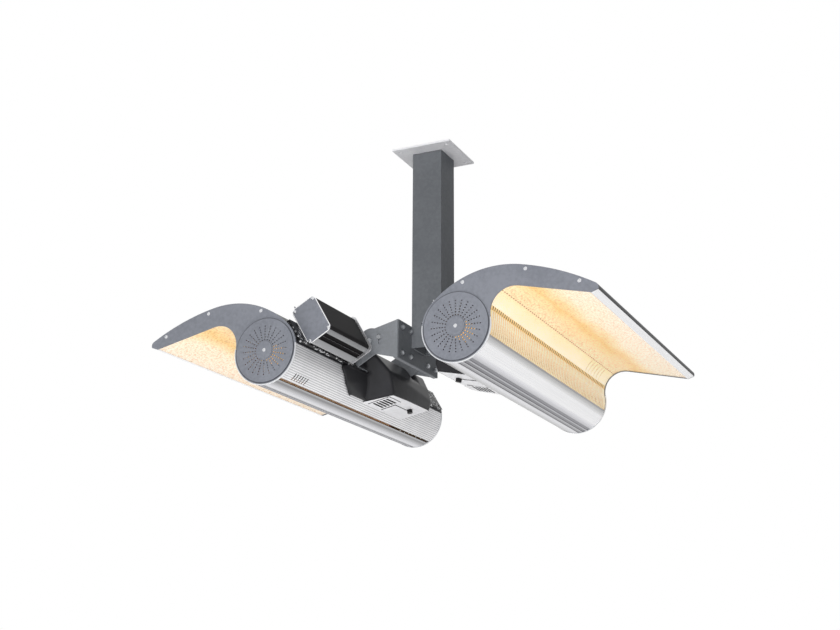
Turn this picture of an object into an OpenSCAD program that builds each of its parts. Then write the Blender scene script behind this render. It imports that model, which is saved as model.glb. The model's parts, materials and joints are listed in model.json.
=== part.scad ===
// Twin infrared heater that hangs from a ceiling on a square drop tube.
// The origin is the centre of the ceiling plate's top face, Z points up,
// the drums run along Y and the two heads open away from each other along X.

/* [Ceiling mount] */
// Side of the square ceiling plate
plate_w = 200; // [190:1:300]
// Thickness of the ceiling plate
plate_t = 6; // [4:0.5:12]
// Distance between the ceiling plate's hole centres
plate_hole_pitch = 160; // [150:1:166]
// Diameter of the ceiling plate's holes
plate_hole_d = 13; // [7:0.5:18]
// Side of the square drop tube
tube_w = 100; // [80:1:110]
// Wall of the drop tube
tube_t = 4; // [2:0.5:8]
// Length of the drop tube below the ceiling plate
tube_l = 649; // [500:1:1200]

/* [Arm brackets] */
// Thickness of the wing plates welded to the tube
wing_t = 4; // [3:0.5:8]
// Width of the arm brackets over their two arms
arm_w = 286; // [270:1:290]
// Height of the arm brackets at the tube
arm_h = 120; // [110:1:140]
// Sheet thickness of the arm brackets
arm_t = 3; // [2:0.5:4]
// Width of the folded lip under the arm brackets
arm_lip = 12; // [6:1:20]
// Radius of the arm's round end at the pivot
arm_nose_r = 35; // [30:1:36]
// Distance from the wing plate's face to the tilt axis
arm_reach = 93; // [88:1:110]
// Height of the tilt axis above the tube's lower end
pivot_rise = 9; // [4:1:30]
// Height between the two rows of bracket bolts
bolt_pitch = 80; // [60:1:84]
// Distance of the outer bolt column from the middle
bolt_out = 119; // [100:1:122]
// Nominal diameter of the bracket bolts
bolt_d = 8; // [6:1:8]

/* [Tilt joint] */
// Tilt of the heads below level
tilt = 30; // [0:1:40]
// Smallest tilt that the arc slot allows
tilt_min = 0; // [0:1:10]
// Largest tilt that the arc slot allows
tilt_max = 40; // [40:1:44]
// Distance from the drum axis out to the tilt axis
pivot_out = 180; // [178:1:190]
// Height of the tilt axis over the drum axis, head level
pivot_up = 12; // [8:1:16]
// Nominal diameter of the pivot bolts
pivot_d = 10; // [8:1:12]
// Nominal diameter of the lock bolts
lock_d = 8; // [6:1:8]
// Distance of the lock bolts from the tilt axis
lock_r = 33.5; // [33:0.5:35]
// Direction of the lock bolts from the tilt axis, head level
lock_dir = 193; // [185:1:197]
// Radius of the ears round the tilt axis
ear_r = 43; // [42:1:44]
// Thickness of the ears
ear_t = 4; // [3:0.5:6]

/* [Head profile] */
// Length of a head over its end plates
head_l = 1000; // [960:1:1200]
// Outer radius of the drum
drum_r = 100; // [99:0.5:100.5]
// Radius of the pocket between drum and wing, at the end plates
pocket_r = 66; // [60:1:70]
// Direction of the pocket's centre from the drum axis
pocket_dir = 39; // [37:1:41]
// Slope of the wing's flat underside
brim_slope = 17.1; // [15:0.1:18]
// Direction where the outline leaves the drum
crown_start = 164.8; // [163:0.2:166]
// Radius of the crown
crown_r = 282; // [275:1:290]
// Turn of the crown
crown_turn = 56.5; // [55:0.5:58]
// Radius of the wing's upper side
wing_r = 681; // [650:1:720]
// Radius of the nose
nose_r = 13.6; // [12:0.2:14]
// How far the covers stand out over the drum
skin_lift = 1.5; // [1:0.1:2]
// Thickness of the end plates
end_t = 4; // [3:0.5:6]
// Thickness of the outer skin
skin_t = 2; // [1:0.1:2.5]
// Thickness of screen, reflector and back mesh
sheet_t = 1.2; // [0.8:0.1:1.5]
// Thickness of the lower shell
shell_t = 2.5; // [2.2:0.1:3]
// How far screen and reflector sit back from the end plate's edge
setback = 2.7; // [2:0.1:3.4]

/* [Drum openings] */
// Direction of the lower shell's upper edge
shell_top = 11; // [8:1:16]
// Direction of the lower shell's back edge
shell_back = 273; // [272:0.5:278]
// Direction of the mesh sheet's lower edge
mesh_low = 268; // [267:0.5:270]
// Direction of the mesh sheet's upper edge
mesh_top = 203; // [200:1:205]
// Pitch of the radiant screen's slots
slot_pitch = 7; // [7:0.5:14]
// Width of the radiant screen's slots
slot_w = 2.6; // [1.5:0.1:4]
// Number of louvre slots in the mesh sheet
louvres = 6; // [3:1:8]
// Pitch of the louvre slots
louvre_pitch = 13.5; // [12:0.5:18]
// Distance from the end of the mesh sheet to its first louvre slot
louvre_inset = 48; // [24:1:60]
// Depth of the three grooves in the lower shell
groove_depth = 1.2; // [0.6:0.1:1.4]
// Spokes of holes in a drum cap
cap_spokes = 24; // [12:1:24]
// Diameter of the holes in a drum cap
cap_hole_d = 3.8; // [2:0.1:4.4]
// Radius of a drum cap
cap_r = 95; // [92:0.5:95.5]
// Thickness of a drum cap
cap_t = 3; // [2:0.5:5]

/* [Burner] */
// Outer radius of the burner tube
burner_r = 28; // [24:1:32]
// Wall of the burner tube
burner_t = 2; // [1.5:0.5:3]
// Outer radius of the heat shield
shield_r = 88; // [85:1:90]
// Outer radius of the mixing tube
mix_r = 11; // [9:0.5:12]

/* [Rail and control box] */
// Thickness of the back rail
rail_t = 3; // [2:0.5:4]
// Length of the back rail
rail_l = 976; // [900:1:984]
// Lower edge of the back rail
rail_low = -35; // [-37:0.5:-34]
// Upper edge of the back rail
rail_top = 40; // [36:1:60]
// End of the control box beside the bracket
box_y0 = 204; // [198:1:215]
// Length of the control box
box_l = 236; // [200:1:250]
// Lower edge of the control box
box_low = -40; // [-44:1:-34]
// Upper edge of the control box
box_top = 84; // [78:1:92]
// Depth of the control box
box_d = 84; // [76:1:90]
// Corner radius of the control box
box_r = 15; // [10:0.5:18]
// Wall of the control box
box_t = 3; // [2.5:0.5:4]

/* [Hood] */
// End of the hood away from the control box
hood_end = -230; // [-240:1:-215]
// Wall of the hood
hood_t = 2.5; // [2:0.5:3]
// Radius of the hood's rounded edges
hood_r = 10; // [8:0.5:12]
// Thickness of the hood's bottom plate
base_t = 2; // [1.5:0.5:3]
// Number of air slots in the bottom plate
air_slots = 5; // [3:1:5]
// Radius of the blower wheel
fan_r = 24; // [20:1:25]
// Height of the blower wheel
fan_h = 16; // [12:1:18]

/* [Fits] */
// Gap between curved faces of neighbouring pieces
gap = 0.3; // [0.2:0.05:0.4]
// Radial running clearance of pins and shafts
run = 0.05; // [0.03:0.01:0.1]
// Radial clearance of screws and bolts in their holes
loose = 0.2; // [0.1:0.05:0.4]

/* [Hidden] */
SIDES = ["left", "right"];
CENTRE_NODES = ["ceiling_plate", "drop_tube", "left_arm_bracket", "right_arm_bracket", "bracket_bolts"];
HEAD_NODES = ["box_end_plate", "hood_end_plate", "box_end_cap", "hood_end_cap", "end_rings",
    "head_screws", "lower_shell", "back_mesh", "radiant_screen", "reflector", "top_cover", "tip_trim",
    "burner_tube", "inner_shield", "igniter", "back_rail", "tilt_bracket", "tilt_bolts",
    "control_box", "box_cover", "box_flange", "hood", "hood_base", "latch_knob",
    "fan_wheel", "fan_motor", "gas_valve"];

$fn = 96;
// A length that reaches past every cut
far = 3000;
// A small overreach that keeps cuts clean
eps = 0.5;

// Heights and places of the hanger
tube_bottom = -plate_t - tube_l;
pivot_z = tube_bottom + pivot_rise;
wing_x = tube_w / 2 + wing_t;
pivot_x = wing_x + arm_reach;
arm_in = arm_w / 2 - arm_t;
bolt_columns = [tube_w / 2 + 12, bolt_out];

// Hexagon bolts: across corners, head height and nut height for a nominal size
function hex_r(d) = 0.94 * d;
function head_h(d) = 0.65 * d;
function nut_h(d) = 0.8 * d;

// Profile of a head, with X outwards and Y up, from the drum axis
function polar(r, a) = r * [cos(a), sin(a)];
skin_r = drum_r + skin_lift;
pocket_c = polar(drum_r + pocket_r, pocket_dir);
brim_n = [-sin(brim_slope), cos(brim_slope)];
brim_d = [cos(brim_slope), sin(brim_slope)];
crown_c = polar(skin_r - crown_r, crown_start);
crown_end = crown_start - crown_turn;
crown_join = crown_c + polar(crown_r, crown_end);
wing_c = crown_join - polar(wing_r, crown_end);
// The nose circle touches the flat underside and the wing's upper arc
nose_line = pocket_c + (pocket_r + nose_r) * brim_n - wing_c;
nose_b = nose_line * brim_d;
nose_run = sqrt(nose_b * nose_b - nose_line * nose_line + pow(wing_r - nose_r, 2)) - nose_b;
nose_c = wing_c + nose_line + nose_run * brim_d;
wing_end = atan2(nose_c[1] - wing_c[1], nose_c[0] - wing_c[0]);
brim_end = brim_slope - 90;

// Lengths along Y
head_y = head_l / 2;
sheet_y = head_y - end_t;
screen_r = drum_r - setback;
screen_pocket_r = pocket_r + setback;
// Pocket directions of the screen's first row of dashes and of its seam with the reflector
dash_dir = 196;
seam_dir = 151;
pocket_start = pocket_dir + 180;
// Long cross slots in the screen near the control box end
vents = 6;
vent_y = 289;
vent_pitch = 26;
pocket_end = brim_slope + 90;
end_plate_r = screen_r - 0.8;
end_bore_r = 80;
boss_r = 26;
boss_h = 2.5;
stub_r = 8;
screw_r = 2;
screw_head_r = 5.5;
screw_head_h = 3;
screw_l = 16;
// The nose ends in a bright bevel: from this direction on the nose to this far before the nose's foot
bevel_dir = 5;
bevel_run = 4;
bevel_top = nose_c + polar(nose_r, bevel_dir);
bevel_low = nose_c + polar(nose_r, brim_end) - bevel_run * brim_d;
bevel_d = (bevel_low - bevel_top) / norm(bevel_low - bevel_top);
bevel_n = [bevel_d[1], -bevel_d[0]];
trim_foot = 3;

// Three screw places under the outline of an end plate: piece of the outline, direction, depth
screw_inset = 11;
screw_spots = [
    crown_c + polar(crown_r - screw_inset, 143.5),
    wing_c + polar(wing_r - screw_inset, 106.8),
    wing_c + polar(wing_r - screw_inset, 93.4)];

// The rail lies on the back of the skin; distances out from the drum axis
rail_in = skin_r + 0.2;
rail_out = rail_in + rail_t;
box_out = rail_out + box_d;
bracket_t = 3;
ear_y = arm_in - 0.4;

// The hood's bottom plate runs from its foot at the drum to its outer corner: distance out, height
hood_foot = [34, -93];
hood_corner = [131, -124.7];
base_d = (hood_corner - hood_foot) / norm(hood_corner - hood_foot);
base_n = [-base_d[1], base_d[0]];
base_w = norm(hood_corner - hood_foot);
// The raked front of the hood: a plane with this normal at this distance
rake_n = [-0.105, 1, -0.634];
rake_k = 114.7;
// Sections of the hood, as centres of their round corners: the low part at its front and its fuller far end, ...
hood_top = rail_low - 0.3;
hood_ridge = [155, -62];
hood_back = [[153, hood_top - hood_r], [70, hood_top - hood_r], hood_foot - 15 * base_n];
hood_front = concat([[112, -132], hood_ridge], hood_back);
hood_far = concat([[118, -129], [147, -100], hood_ridge + [2, 0]], hood_back);
// ... the hump between the ears, and the tall end beyond the arm
hump_back = rail_out + bracket_t + gap + hood_r;
hump_top = 3;
hump_y = ear_y - ear_t - 1;
hood_hump = [[hump_back, -60], hood_ridge, [151, hump_top - hood_r], [hump_back, hump_top - hood_r]];
tall_back = rail_out + gap + hood_r;
tall_top = -14;
tall_y = -156;
tall_end = hood_end + 0.6;
hood_tall = [[tall_back, -60], hood_ridge + [2, 0], [160, tall_top - hood_r], [tall_back, tall_top - hood_r]];
// The shoulder that runs on along the drum: direction from the drum axis and place along it, and its peak
hood_shoulder = [[208, 222], [228, 188], [242, 145], [249, 90], [249, 0], [208, 0]];
shoulder_peak = [114, -7];

// Air slots and service panel on the bottom plate: from the foot along the plate, and along Y
air_x0 = 8;
air_x1 = 82;
air_y0 = -62;
air_y1 = 20;
air_rim = 8;
panel_x0 = 8;
panel_x1 = 58;
panel_y0 = -150;
panel_y1 = -70;
knob_x = 66;
knob_y = -158;
knob_r = 9;
knob_l = 12;

// Blower in the hood
fan_x = 72;
fan_y = 0;
fan_lift = 5;
fan_shaft_r = 3;
motor_r = 15;
motor_h = 18;
gantry_t = 3;

// Gas valve in the hood, on a ray from the drum axis
valve_dir = 215;
valve_r0 = 112;
valve_h = 36;
valve_w = 38;
valve_y = -130;
inlet_r = 8;
inlet_l = 20;

// Carries a head's own axes to its side of the hanger at the tilt
module place(side) {
    rotate([0, 0, side == "left" ? 180 : 0])
        translate([pivot_x, 0, pivot_z])
            rotate([0, tilt, 0])
                translate([pivot_out, 0, -pivot_up])
                    children();
}

// Extrudes a head profile along Y from y0 to y1
module span(y0, y1) {
    translate([0, y1, 0])
        rotate([90, 0, 0])
            linear_extrude(y1 - y0)
                children();
}

// Repeats a piece at both ends of a head
module both_ends() {
    children();
    mirror([0, 1, 0])
        children();
}

// Pie piece that reaches beyond a circle of radius r
function pie(r, a0, a1) = [[0, 0], for (i = [0 : 4]) polar(2 * r, a0 + (a1 - a0) * i / 4)];

// Curved strip of outer radius r and thickness t between two directions
module strip(c, r, t, a0, a1) {
    translate(c)
        intersection() {
            difference() {
                circle(r, $fn = 180);
                circle(r - t, $fn = 180);
            }
            polygon(pie(r, a0, a1));
        }
}

// Turn by which a strip of radius r reaches into its neighbour
function lap(r) = 0.05 / r * 180 / PI;

// Rectangle with round corners between two points
module round_box(p, q, r) {
    translate([p[0] + r, p[1]])
        square([q[0] - p[0] - 2 * r, q[1] - p[1]]);
    translate([p[0], p[1] + r])
        square([q[0] - p[0], q[1] - p[1] - 2 * r]);
    for (x = [p[0] + r, q[0] - r])
        for (y = [p[1] + r, q[1] - r])
            translate([x, y])
                circle(r);
}

// Hexagon bolt along +Z: its head lies under z = 0 and its shank points up
module bolt(d, l) {
    translate([0, 0, -head_h(d)])
        cylinder(r = hex_r(d), h = head_h(d), $fn = 6);
    cylinder(d = d, h = l);
}

// Nut round a bolt, from z = 0 up
module nut(d) {
    cylinder(r = hex_r(d), h = nut_h(d), $fn = 6);
}

// Button screw: head with a hexagon socket over z = 0, shank below
module button_screw(l) {
    difference() {
        intersection() {
            cylinder(r = screw_head_r, h = screw_head_h);
            translate([0, 0, screw_head_h - 1.3 * screw_head_r])
                sphere(r = 1.3 * screw_head_r);
        }
        translate([0, 0, screw_head_h - 1.6])
            cylinder(r = 2.3, h = 2, $fn = 6);
    }
    translate([0, 0, -l])
        cylinder(r = screw_r, h = l + eps);
}

// Flat square plate that is bolted to the ceiling
module ceiling_plate() {
    color("gainsboro")
        translate([0, 0, -plate_t])
            difference() {
                translate([-plate_w / 2, -plate_w / 2, 0])
                    cube([plate_w, plate_w, plate_t]);
                for (x = [-1, 1])
                    for (y = [-1, 1])
                        translate([x * plate_hole_pitch / 2, y * plate_hole_pitch / 2, -eps])
                            cylinder(d = plate_hole_d, h = plate_t + 2 * eps);
            }
}

// Square tube with a wing plate welded on two sides
module drop_tube() {
    color("#6b6e72")
        difference() {
            union() {
                translate([-tube_w / 2, -tube_w / 2, tube_bottom])
                    cube([tube_w, tube_w, tube_l]);
                for (s = [0, 180])
                    rotate([0, 0, s])
                        translate([tube_w / 2, -arm_w / 2, pivot_z - arm_h / 2])
                            cube([wing_t, arm_w, arm_h]);
            }
            translate([tube_t - tube_w / 2, tube_t - tube_w / 2, tube_bottom - arm_h])
                cube([tube_w - 2 * tube_t, tube_w - 2 * tube_t, tube_l + 2 * arm_h]);
            each_bracket_bolt()
                translate([0, 0, -far / 2])
                    cylinder(r = bolt_d / 2 + loose, h = far);
        }
}

// Places at the bracket bolts, with Z towards the middle of the hanger
module each_bracket_bolt() {
    for (s = [0, 180])
        rotate([0, 0, s])
            for (y = bolt_columns)
                for (e = [-1, 1])
                    for (z = [-1, 1])
                        translate([wing_x + arm_t, e * y, pivot_z + z * bolt_pitch / 2])
                            rotate([0, -90, 0])
                                children();
}

// Hexagon bolts that clamp the arm brackets to the wing plates
module bracket_bolts() {
    color("silver")
        each_bracket_bolt() {
            bolt(bolt_d, arm_t + wing_t + nut_h(bolt_d) + 3);
            translate([0, 0, arm_t + wing_t])
                nut(bolt_d);
        }
}

// Outline of an arm, with X out from the wing plate and Y up from the tilt axis
module arm_outline() {
    drop = arm_h / 2;
    // The straight edges touch the round end
    slope = atan2(drop, arm_reach) - asin(arm_nose_r / norm([arm_reach, drop]));
    touch = [arm_reach + arm_nose_r * sin(slope), arm_nose_r * cos(slope)];
    slot_from = lock_dir - tilt_max - 0.8;
    slot_to = lock_dir - tilt_min + 0.8;
    slot_half = lock_d / 2 + 0.5;
    pivot = [arm_reach, 0];
    difference() {
        union() {
            translate(pivot)
                circle(arm_nose_r);
            polygon([[0, -drop], [touch[0], -touch[1]], pivot, touch, [0, drop]]);
        }
        translate(pivot)
            circle(pivot_d / 2 + run);
        strip(pivot, lock_r + slot_half, 2 * slot_half, slot_from, slot_to);
        for (a = [slot_from, slot_to])
            translate(pivot + polar(lock_r, a))
                circle(slot_half + 0.05);
    }
}

// Folded bracket: web, two arms and a lip under the web
module arm_bracket(side) {
    color("#7b7e82")
        rotate([0, 0, side == "left" ? 180 : 0])
            translate([wing_x, 0, pivot_z])
                difference() {
                    union() {
                        translate([0, -arm_w / 2, -arm_h / 2])
                            cube([arm_t, arm_w, arm_h]);
                        translate([0, -arm_w / 2, -arm_h / 2])
                            cube([arm_lip, arm_w, arm_t]);
                        both_ends()
                            span(arm_in, arm_w / 2)
                                arm_outline();
                    }
                    translate([0, 0, -pivot_z])
                        translate([-wing_x, 0, 0])
                            each_bracket_bolt()
                                translate([0, 0, -10])
                                    cylinder(r = bolt_d / 2 + loose, h = 20);
                }
}

// Points beyond a circle of radius r, round it between two directions
function fan(c, r, a0, a1) = [for (i = [0 : 4]) c + polar(1.3 * r, a0 + (a1 - a0) * i / 4)];

// Everything inside the outer line of an end plate: under the crown, under the wing, nose and drum
module end_outline() {
    under_crown = concat([[0, 0]],
        fan(crown_c, crown_r, crown_start + lap(crown_r), crown_end - lap(crown_r)),
        [crown_join - polar(30, crown_end), pocket_c]);
    under_wing = concat([crown_join - polar(70, crown_end)],
        fan(wing_c, wing_r, crown_end + lap(wing_r), wing_end - lap(wing_r)),
        [nose_c, nose_c + polar(nose_r, brim_end), pocket_c + polar(pocket_r, pocket_end), pocket_c]);
    difference() {
        union() {
            intersection() {
                translate(crown_c)
                    circle(crown_r, $fn = 180);
                polygon(under_crown);
            }
            intersection() {
                translate(wing_c)
                    circle(wing_r, $fn = 180);
                polygon(under_wing);
            }
            translate(nose_c)
                circle(nose_r);
            circle(end_plate_r, $fn = 180);
            strip([0, 0], skin_r, 12, crown_start - lap(skin_r), mesh_top);
        }
        translate(pocket_c)
            circle(pocket_r, $fn = 180);
        circle(end_bore_r, $fn = 180);
        polygon([bevel_top, bevel_low, bevel_low - nose_r * bevel_n, bevel_top - nose_r * bevel_n]);
    }
}

// S-shaped plate that closes drum and wing at the end at +Y
module end_plate() {
    color("#7b7d85")
        difference() {
            span(sheet_y, head_y)
                end_outline();
            each_end_screw()
                cylinder(r = screw_r + loose, h = 4 * end_t, center = true);
        }
}

// End plate beside the control box
module box_end_plate() {
    end_plate();
}

// End plate beside the hood
module hood_end_plate() {
    mirror([0, 1, 0])
        end_plate();
}

// Places at the three screws of the end at +Y, with Z outwards
module each_end_screw() {
    for (p = screw_spots)
        translate([p[0], head_y, p[1]])
            rotate([-90, 0, 0])
                children();
}

// Round drum cap with spokes of holes and a raised boss, at the end at +Y
module end_cap() {
    color("#85888e") {
        span(head_y, head_y + cap_t)
            difference() {
                circle(cap_r, $fn = 180);
                circle(screw_r + loose);
                for (i = [0 : cap_spokes - 1])
                    for (r = [31 : 8 : 76])
                        translate(polar(r, i * 360 / cap_spokes))
                            circle(d = cap_hole_d, $fn = 24);
            }
        span(head_y + cap_t - eps, head_y + cap_t + boss_h)
            difference() {
                circle(boss_r);
                circle(screw_r + loose);
            }
    }
}

// Drum cap beside the control box
module box_end_cap() {
    end_cap();
}

// Drum cap beside the hood
module hood_end_cap() {
    mirror([0, 1, 0])
        end_cap();
}

// Bright rings that close the ends of the drum's sheets
module end_rings() {
    color("gainsboro")
        both_ends()
            span(sheet_y, head_y + 1)
                strip([0, 0], drum_r + 1, drum_r + 1 - end_plate_r - gap, mesh_top, 360 + pocket_dir - 1);
}

// Button screws of end plates, caps and box cover
module head_screws() {
    color("gainsboro") {
        both_ends() {
            each_end_screw()
                button_screw(screw_l);
            translate([0, head_y + cap_t + boss_h, 0])
                rotate([-90, 0, 0])
                    button_screw(screw_l);
        }
        each_cover_screw()
            button_screw(screw_l);
    }
}

// Polished shell round the underside of the drum, with three grooves
module lower_shell() {
    color("whitesmoke")
        span(-sheet_y, sheet_y)
            difference() {
                strip([0, 0], drum_r, shell_t, shell_back - 360, shell_top);
                for (a = [-37.5, -46.5, -55.5])
                    strip([0, 0], drum_r + 1, 1 + groove_depth, a - 3, a + 3);
            }
}

// Perforated sheet on the back of the drum, with louvre slots near one end
module back_mesh() {
    color("gainsboro")
        difference() {
            span(-sheet_y, sheet_y)
                strip([0, 0], drum_r, sheet_t, mesh_top + 0.1, mesh_low);
            for (i = [0 : louvres - 1])
                translate([0, sheet_y - louvre_inset - i * louvre_pitch, 0])
                    span(-2.5, 2.5)
                        polygon(pie(drum_r, mesh_low - 18, mesh_low - 4));
            mixing_bore(mix_r + 1);
        }
}

// Slotted screen: it follows the drum, then the pocket up to the seam
module radiant_screen() {
    last_slot = floor((sheet_y - 14) / slot_pitch) * slot_pitch;
    last_dash = floor((sheet_y - 20) / (2 * slot_pitch)) * 2 * slot_pitch;
    color("wheat")
        difference() {
            span(-sheet_y, sheet_y) {
                strip([0, 0], screen_r, sheet_t, shell_top - 3, pocket_dir + lap(screen_r));
                strip(pocket_c, screen_pocket_r + sheet_t, sheet_t, seam_dir, pocket_start + lap(pocket_r));
            }
            for (y = [-last_slot : slot_pitch : last_slot])
                span(y - slot_w / 2, y + slot_w / 2) {
                    strip([0, 0], screen_r + eps, sheet_t + 2 * eps, shell_top + 3, pocket_dir + 0.2);
                    strip(pocket_c, screen_pocket_r + sheet_t + eps, sheet_t + 2 * eps, dash_dir + 5, pocket_start + 0.2);
                }
            for (y = [-last_dash : 2 * slot_pitch : last_dash])
                span(y - slot_w, y + slot_w)
                    strip(pocket_c, screen_pocket_r + sheet_t + eps, sheet_t + 2 * eps, dash_dir - 6, dash_dir + 2.5);
            for (i = [0 : vents - 1])
                span(vent_y + i * vent_pitch - 1.5, vent_y + i * vent_pitch + 1.5)
                    strip(pocket_c, screen_pocket_r + sheet_t + eps, sheet_t + 2 * eps, seam_dir + 3, dash_dir - 9);
        }
}

// Plain reflector: the rest of the pocket and the flat underside of the wing
module reflector() {
    from = pocket_c + screen_pocket_r * brim_n;
    flat_l = nose_run - bevel_run;
    color("wheat")
        span(-sheet_y, sheet_y) {
            strip(pocket_c, screen_pocket_r + sheet_t, sheet_t, pocket_end - lap(pocket_r), seam_dir);
            polygon([from, from + flat_l * brim_d, from + flat_l * brim_d + sheet_t * brim_n,
                from + sheet_t * brim_n]);
        }
}

// Dark outer skin round back, crown, wing and nose, with the screw ports inside it
module top_cover() {
    port_r = screw_r + 3;
    color("#2f3032")
        span(-sheet_y, sheet_y) {
            strip([0, 0], skin_r, skin_t, crown_start - lap(skin_r), mesh_top);
            strip(crown_c, crown_r, skin_t, crown_end - lap(crown_r), crown_start + lap(crown_r));
            strip(wing_c, wing_r, skin_t, wing_end - lap(wing_r), crown_end + lap(wing_r));
            strip(nose_c, nose_r, skin_t, bevel_dir, wing_end + lap(nose_r));
            for (i = [0 : 2])
                difference() {
                    union() {
                        translate(screw_spots[i])
                            circle(port_r);
                        port_web(i, port_r);
                    }
                    translate(screw_spots[i])
                        circle(screw_r + 0.1);
                }
        }
}

// Web that joins a screw port to the skin above it
module port_web(i, r) {
    c = i == 0 ? crown_c : wing_c;
    a = atan2(screw_spots[i][1] - c[1], screw_spots[i][0] - c[0]);
    translate(screw_spots[i])
        rotate(a)
            translate([r - 1, -1.5])
                square([screw_inset - r - skin_t / 2 + 1, 3]);
}

// Bright strip on the bevel of the nose, with a foot under the reflector's edge
module tip_trim() {
    start = bevel_top + gap * bevel_d;
    rise = (setback - run) * brim_n;
    color("white")
        span(-sheet_y, sheet_y)
            polygon([start, bevel_low, bevel_low - trim_foot * brim_d, bevel_low - trim_foot * brim_d + rise,
                bevel_low + rise, start - skin_t * polar(1, bevel_dir)]);
}

// Radial bore of the mixing tube, through every sheet between valve and burner
module mixing_bore(r) {
    translate([0, valve_y, 0])
        rotate([0, 90 - valve_dir, 0])
            cylinder(r = r, h = valve_r0);
}

// Burner tube with its plugged ends and the stubs that carry the caps
module burner_tube() {
    plug = 8;
    tube_y = sheet_y - 40;
    color("orangered")
        rotate([90, 0, 0])
            difference() {
                union() {
                    cylinder(r = burner_r, h = 2 * tube_y, center = true);
                    cylinder(r = stub_r, h = 2 * head_y, center = true);
                }
                cylinder(r = burner_r - burner_t, h = 2 * (tube_y - plug), center = true);
                for (e = [0, 180])
                    rotate([e, 0, 0])
                        translate([0, 0, head_y - screw_l])
                            cylinder(r = screw_r + 0.1, h = screw_l + eps);
            }
}

// Heat shield behind the burner, with a web at each end that carries the tube
module inner_shield() {
    web_y = sheet_y - 60;
    color("peru")
        difference() {
            union() {
                span(-sheet_y, sheet_y)
                    strip([0, 0], shield_r, sheet_t, 100, 262);
                both_ends()
                    span(web_y, web_y + 2)
                        intersection() {
                            circle(shield_r - eps);
                            union() {
                                polygon(pie(shield_r, 150, 212));
                                circle(burner_r + 20);
                            }
                        }
            }
            rotate([90, 0, 0])
                cylinder(r = burner_r + loose, h = far, center = true);
            mixing_bore(mix_r + loose);
            igniter_place()
                cylinder(r = 5 + loose, h = 20, center = true);
        }
}

// The igniter sits in the shield's web at the control box end
module igniter_place() {
    translate([0, sheet_y - 60, 0])
        rotate([90, 0, 0])
            translate(polar(burner_r + 12, 180))
                children();
}

// Spark electrode: ceramic body, collar and wire tip
module igniter() {
    color("white")
        igniter_place() {
            translate([0, 0, -22])
                cylinder(r = 5, h = 40);
            translate([0, 0, -10])
                cylinder(r = 8, h = 8);
            cylinder(r = 1.5, h = 30);
        }
}

// Black punched channel on the back of the drum
module back_rail() {
    // Where the two legs end just over the skin
    foot_low = sqrt(pow(skin_r, 2) - pow(rail_low + rail_t, 2)) + gap;
    foot_top = sqrt(pow(crown_r, 2) - pow(rail_top - rail_t - crown_c[1], 2)) - crown_c[0] + gap;
    color("#1c1c1e")
        difference() {
            span(-rail_l / 2, rail_l / 2) {
                translate([-rail_out, rail_low])
                    square([rail_t, rail_top - rail_low]);
                translate([-rail_out, rail_low])
                    square([rail_out - foot_low, rail_t]);
                translate([-rail_out, rail_top - rail_t])
                    square([rail_out - foot_top, rail_t]);
            }
            for (y = [-rail_l / 2 + 20 : 28 : rail_l / 2 - 20])
                for (v = [rail_low + 12, rail_top - 12])
                    translate([-rail_in - rail_t / 2, y, v])
                        rotate([0, 90, 0])
                            cylinder(r = 4.5, h = 3 * rail_t, center = true);
        }
}

// Outline of an ear, with X out from the drum and Y up
module ear_outline() {
    difference() {
        union() {
            translate([-pivot_out, pivot_up])
                circle(ear_r);
            translate([-pivot_out, pivot_up - ear_r])
                square([pivot_out - rail_out, 2 * ear_r]);
        }
        translate([-pivot_out, pivot_up])
            circle(pivot_d / 2 + loose);
        translate([-pivot_out, pivot_up] + polar(lock_r, lock_dir))
            circle(lock_d / 2 + loose);
    }
}

// U bracket on the rail with the two ears that turn between the arms
module tilt_bracket() {
    color("#6f7276") {
        span(-ear_y, ear_y)
            translate([-rail_out - bracket_t, pivot_up - ear_r])
                square([bracket_t, 2 * ear_r]);
        both_ends()
            span(ear_y - ear_t, ear_y)
                ear_outline();
    }
}

// Pivot bolts and lock bolts: heads outside the arms, nuts inside the ears
module tilt_bolts() {
    grip = arm_t + 0.4 + ear_t + 0.4;
    color("silver")
        both_ends()
            for (b = [[pivot_d, [-pivot_out, pivot_up]],
                      [lock_d, [-pivot_out, pivot_up] + polar(lock_r, lock_dir)]])
                translate([b[1][0], arm_w / 2 + 0.4, b[1][1]])
                    rotate([90, 0, 0]) {
                        bolt(b[0], grip + nut_h(b[0]) + 2);
                        translate([0, 0, grip])
                            nut(b[0]);
                    }
}

// Section of the control box
module box_outline(inset) {
    round_box([-box_out + inset, box_low + inset], [-rail_out - inset, box_top - inset], box_r - inset);
}

// Ribbed housing of the controls
module control_box() {
    color("#3a3a3c")
        span(box_y0, box_y0 + box_l)
            difference() {
                box_outline(0);
                difference() {
                    box_outline(box_t);
                    for (p = cover_spots)
                        translate(p)
                            circle(screw_r + 3);
                }
                for (p = cover_spots)
                    translate(p)
                        circle(screw_r + 0.1);
                for (x = [channel_x, channel_x + channel_w + 2])
                    translate([-box_out + x, box_low - eps])
                        square([channel_w, eps + channel_d]);
            }
}

// Two channels along the underside of the control box, from its outer face
channel_x = 23;
channel_w = 12;
channel_d = 1.8;
cover_inset = 8;
cover_spots = [for (x = [-box_out + cover_inset, -rail_out - cover_inset])
    for (z = [box_low + cover_inset, box_top - cover_inset]) [x, z]];
cover_t = 4;
cover_y = box_y0 + box_l;

// Places at the screws of the box cover, with Z outwards
module each_cover_screw() {
    for (p = cover_spots)
        translate([p[0], cover_y + cover_t, p[1]])
            rotate([-90, 0, 0])
                children();
}

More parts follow.
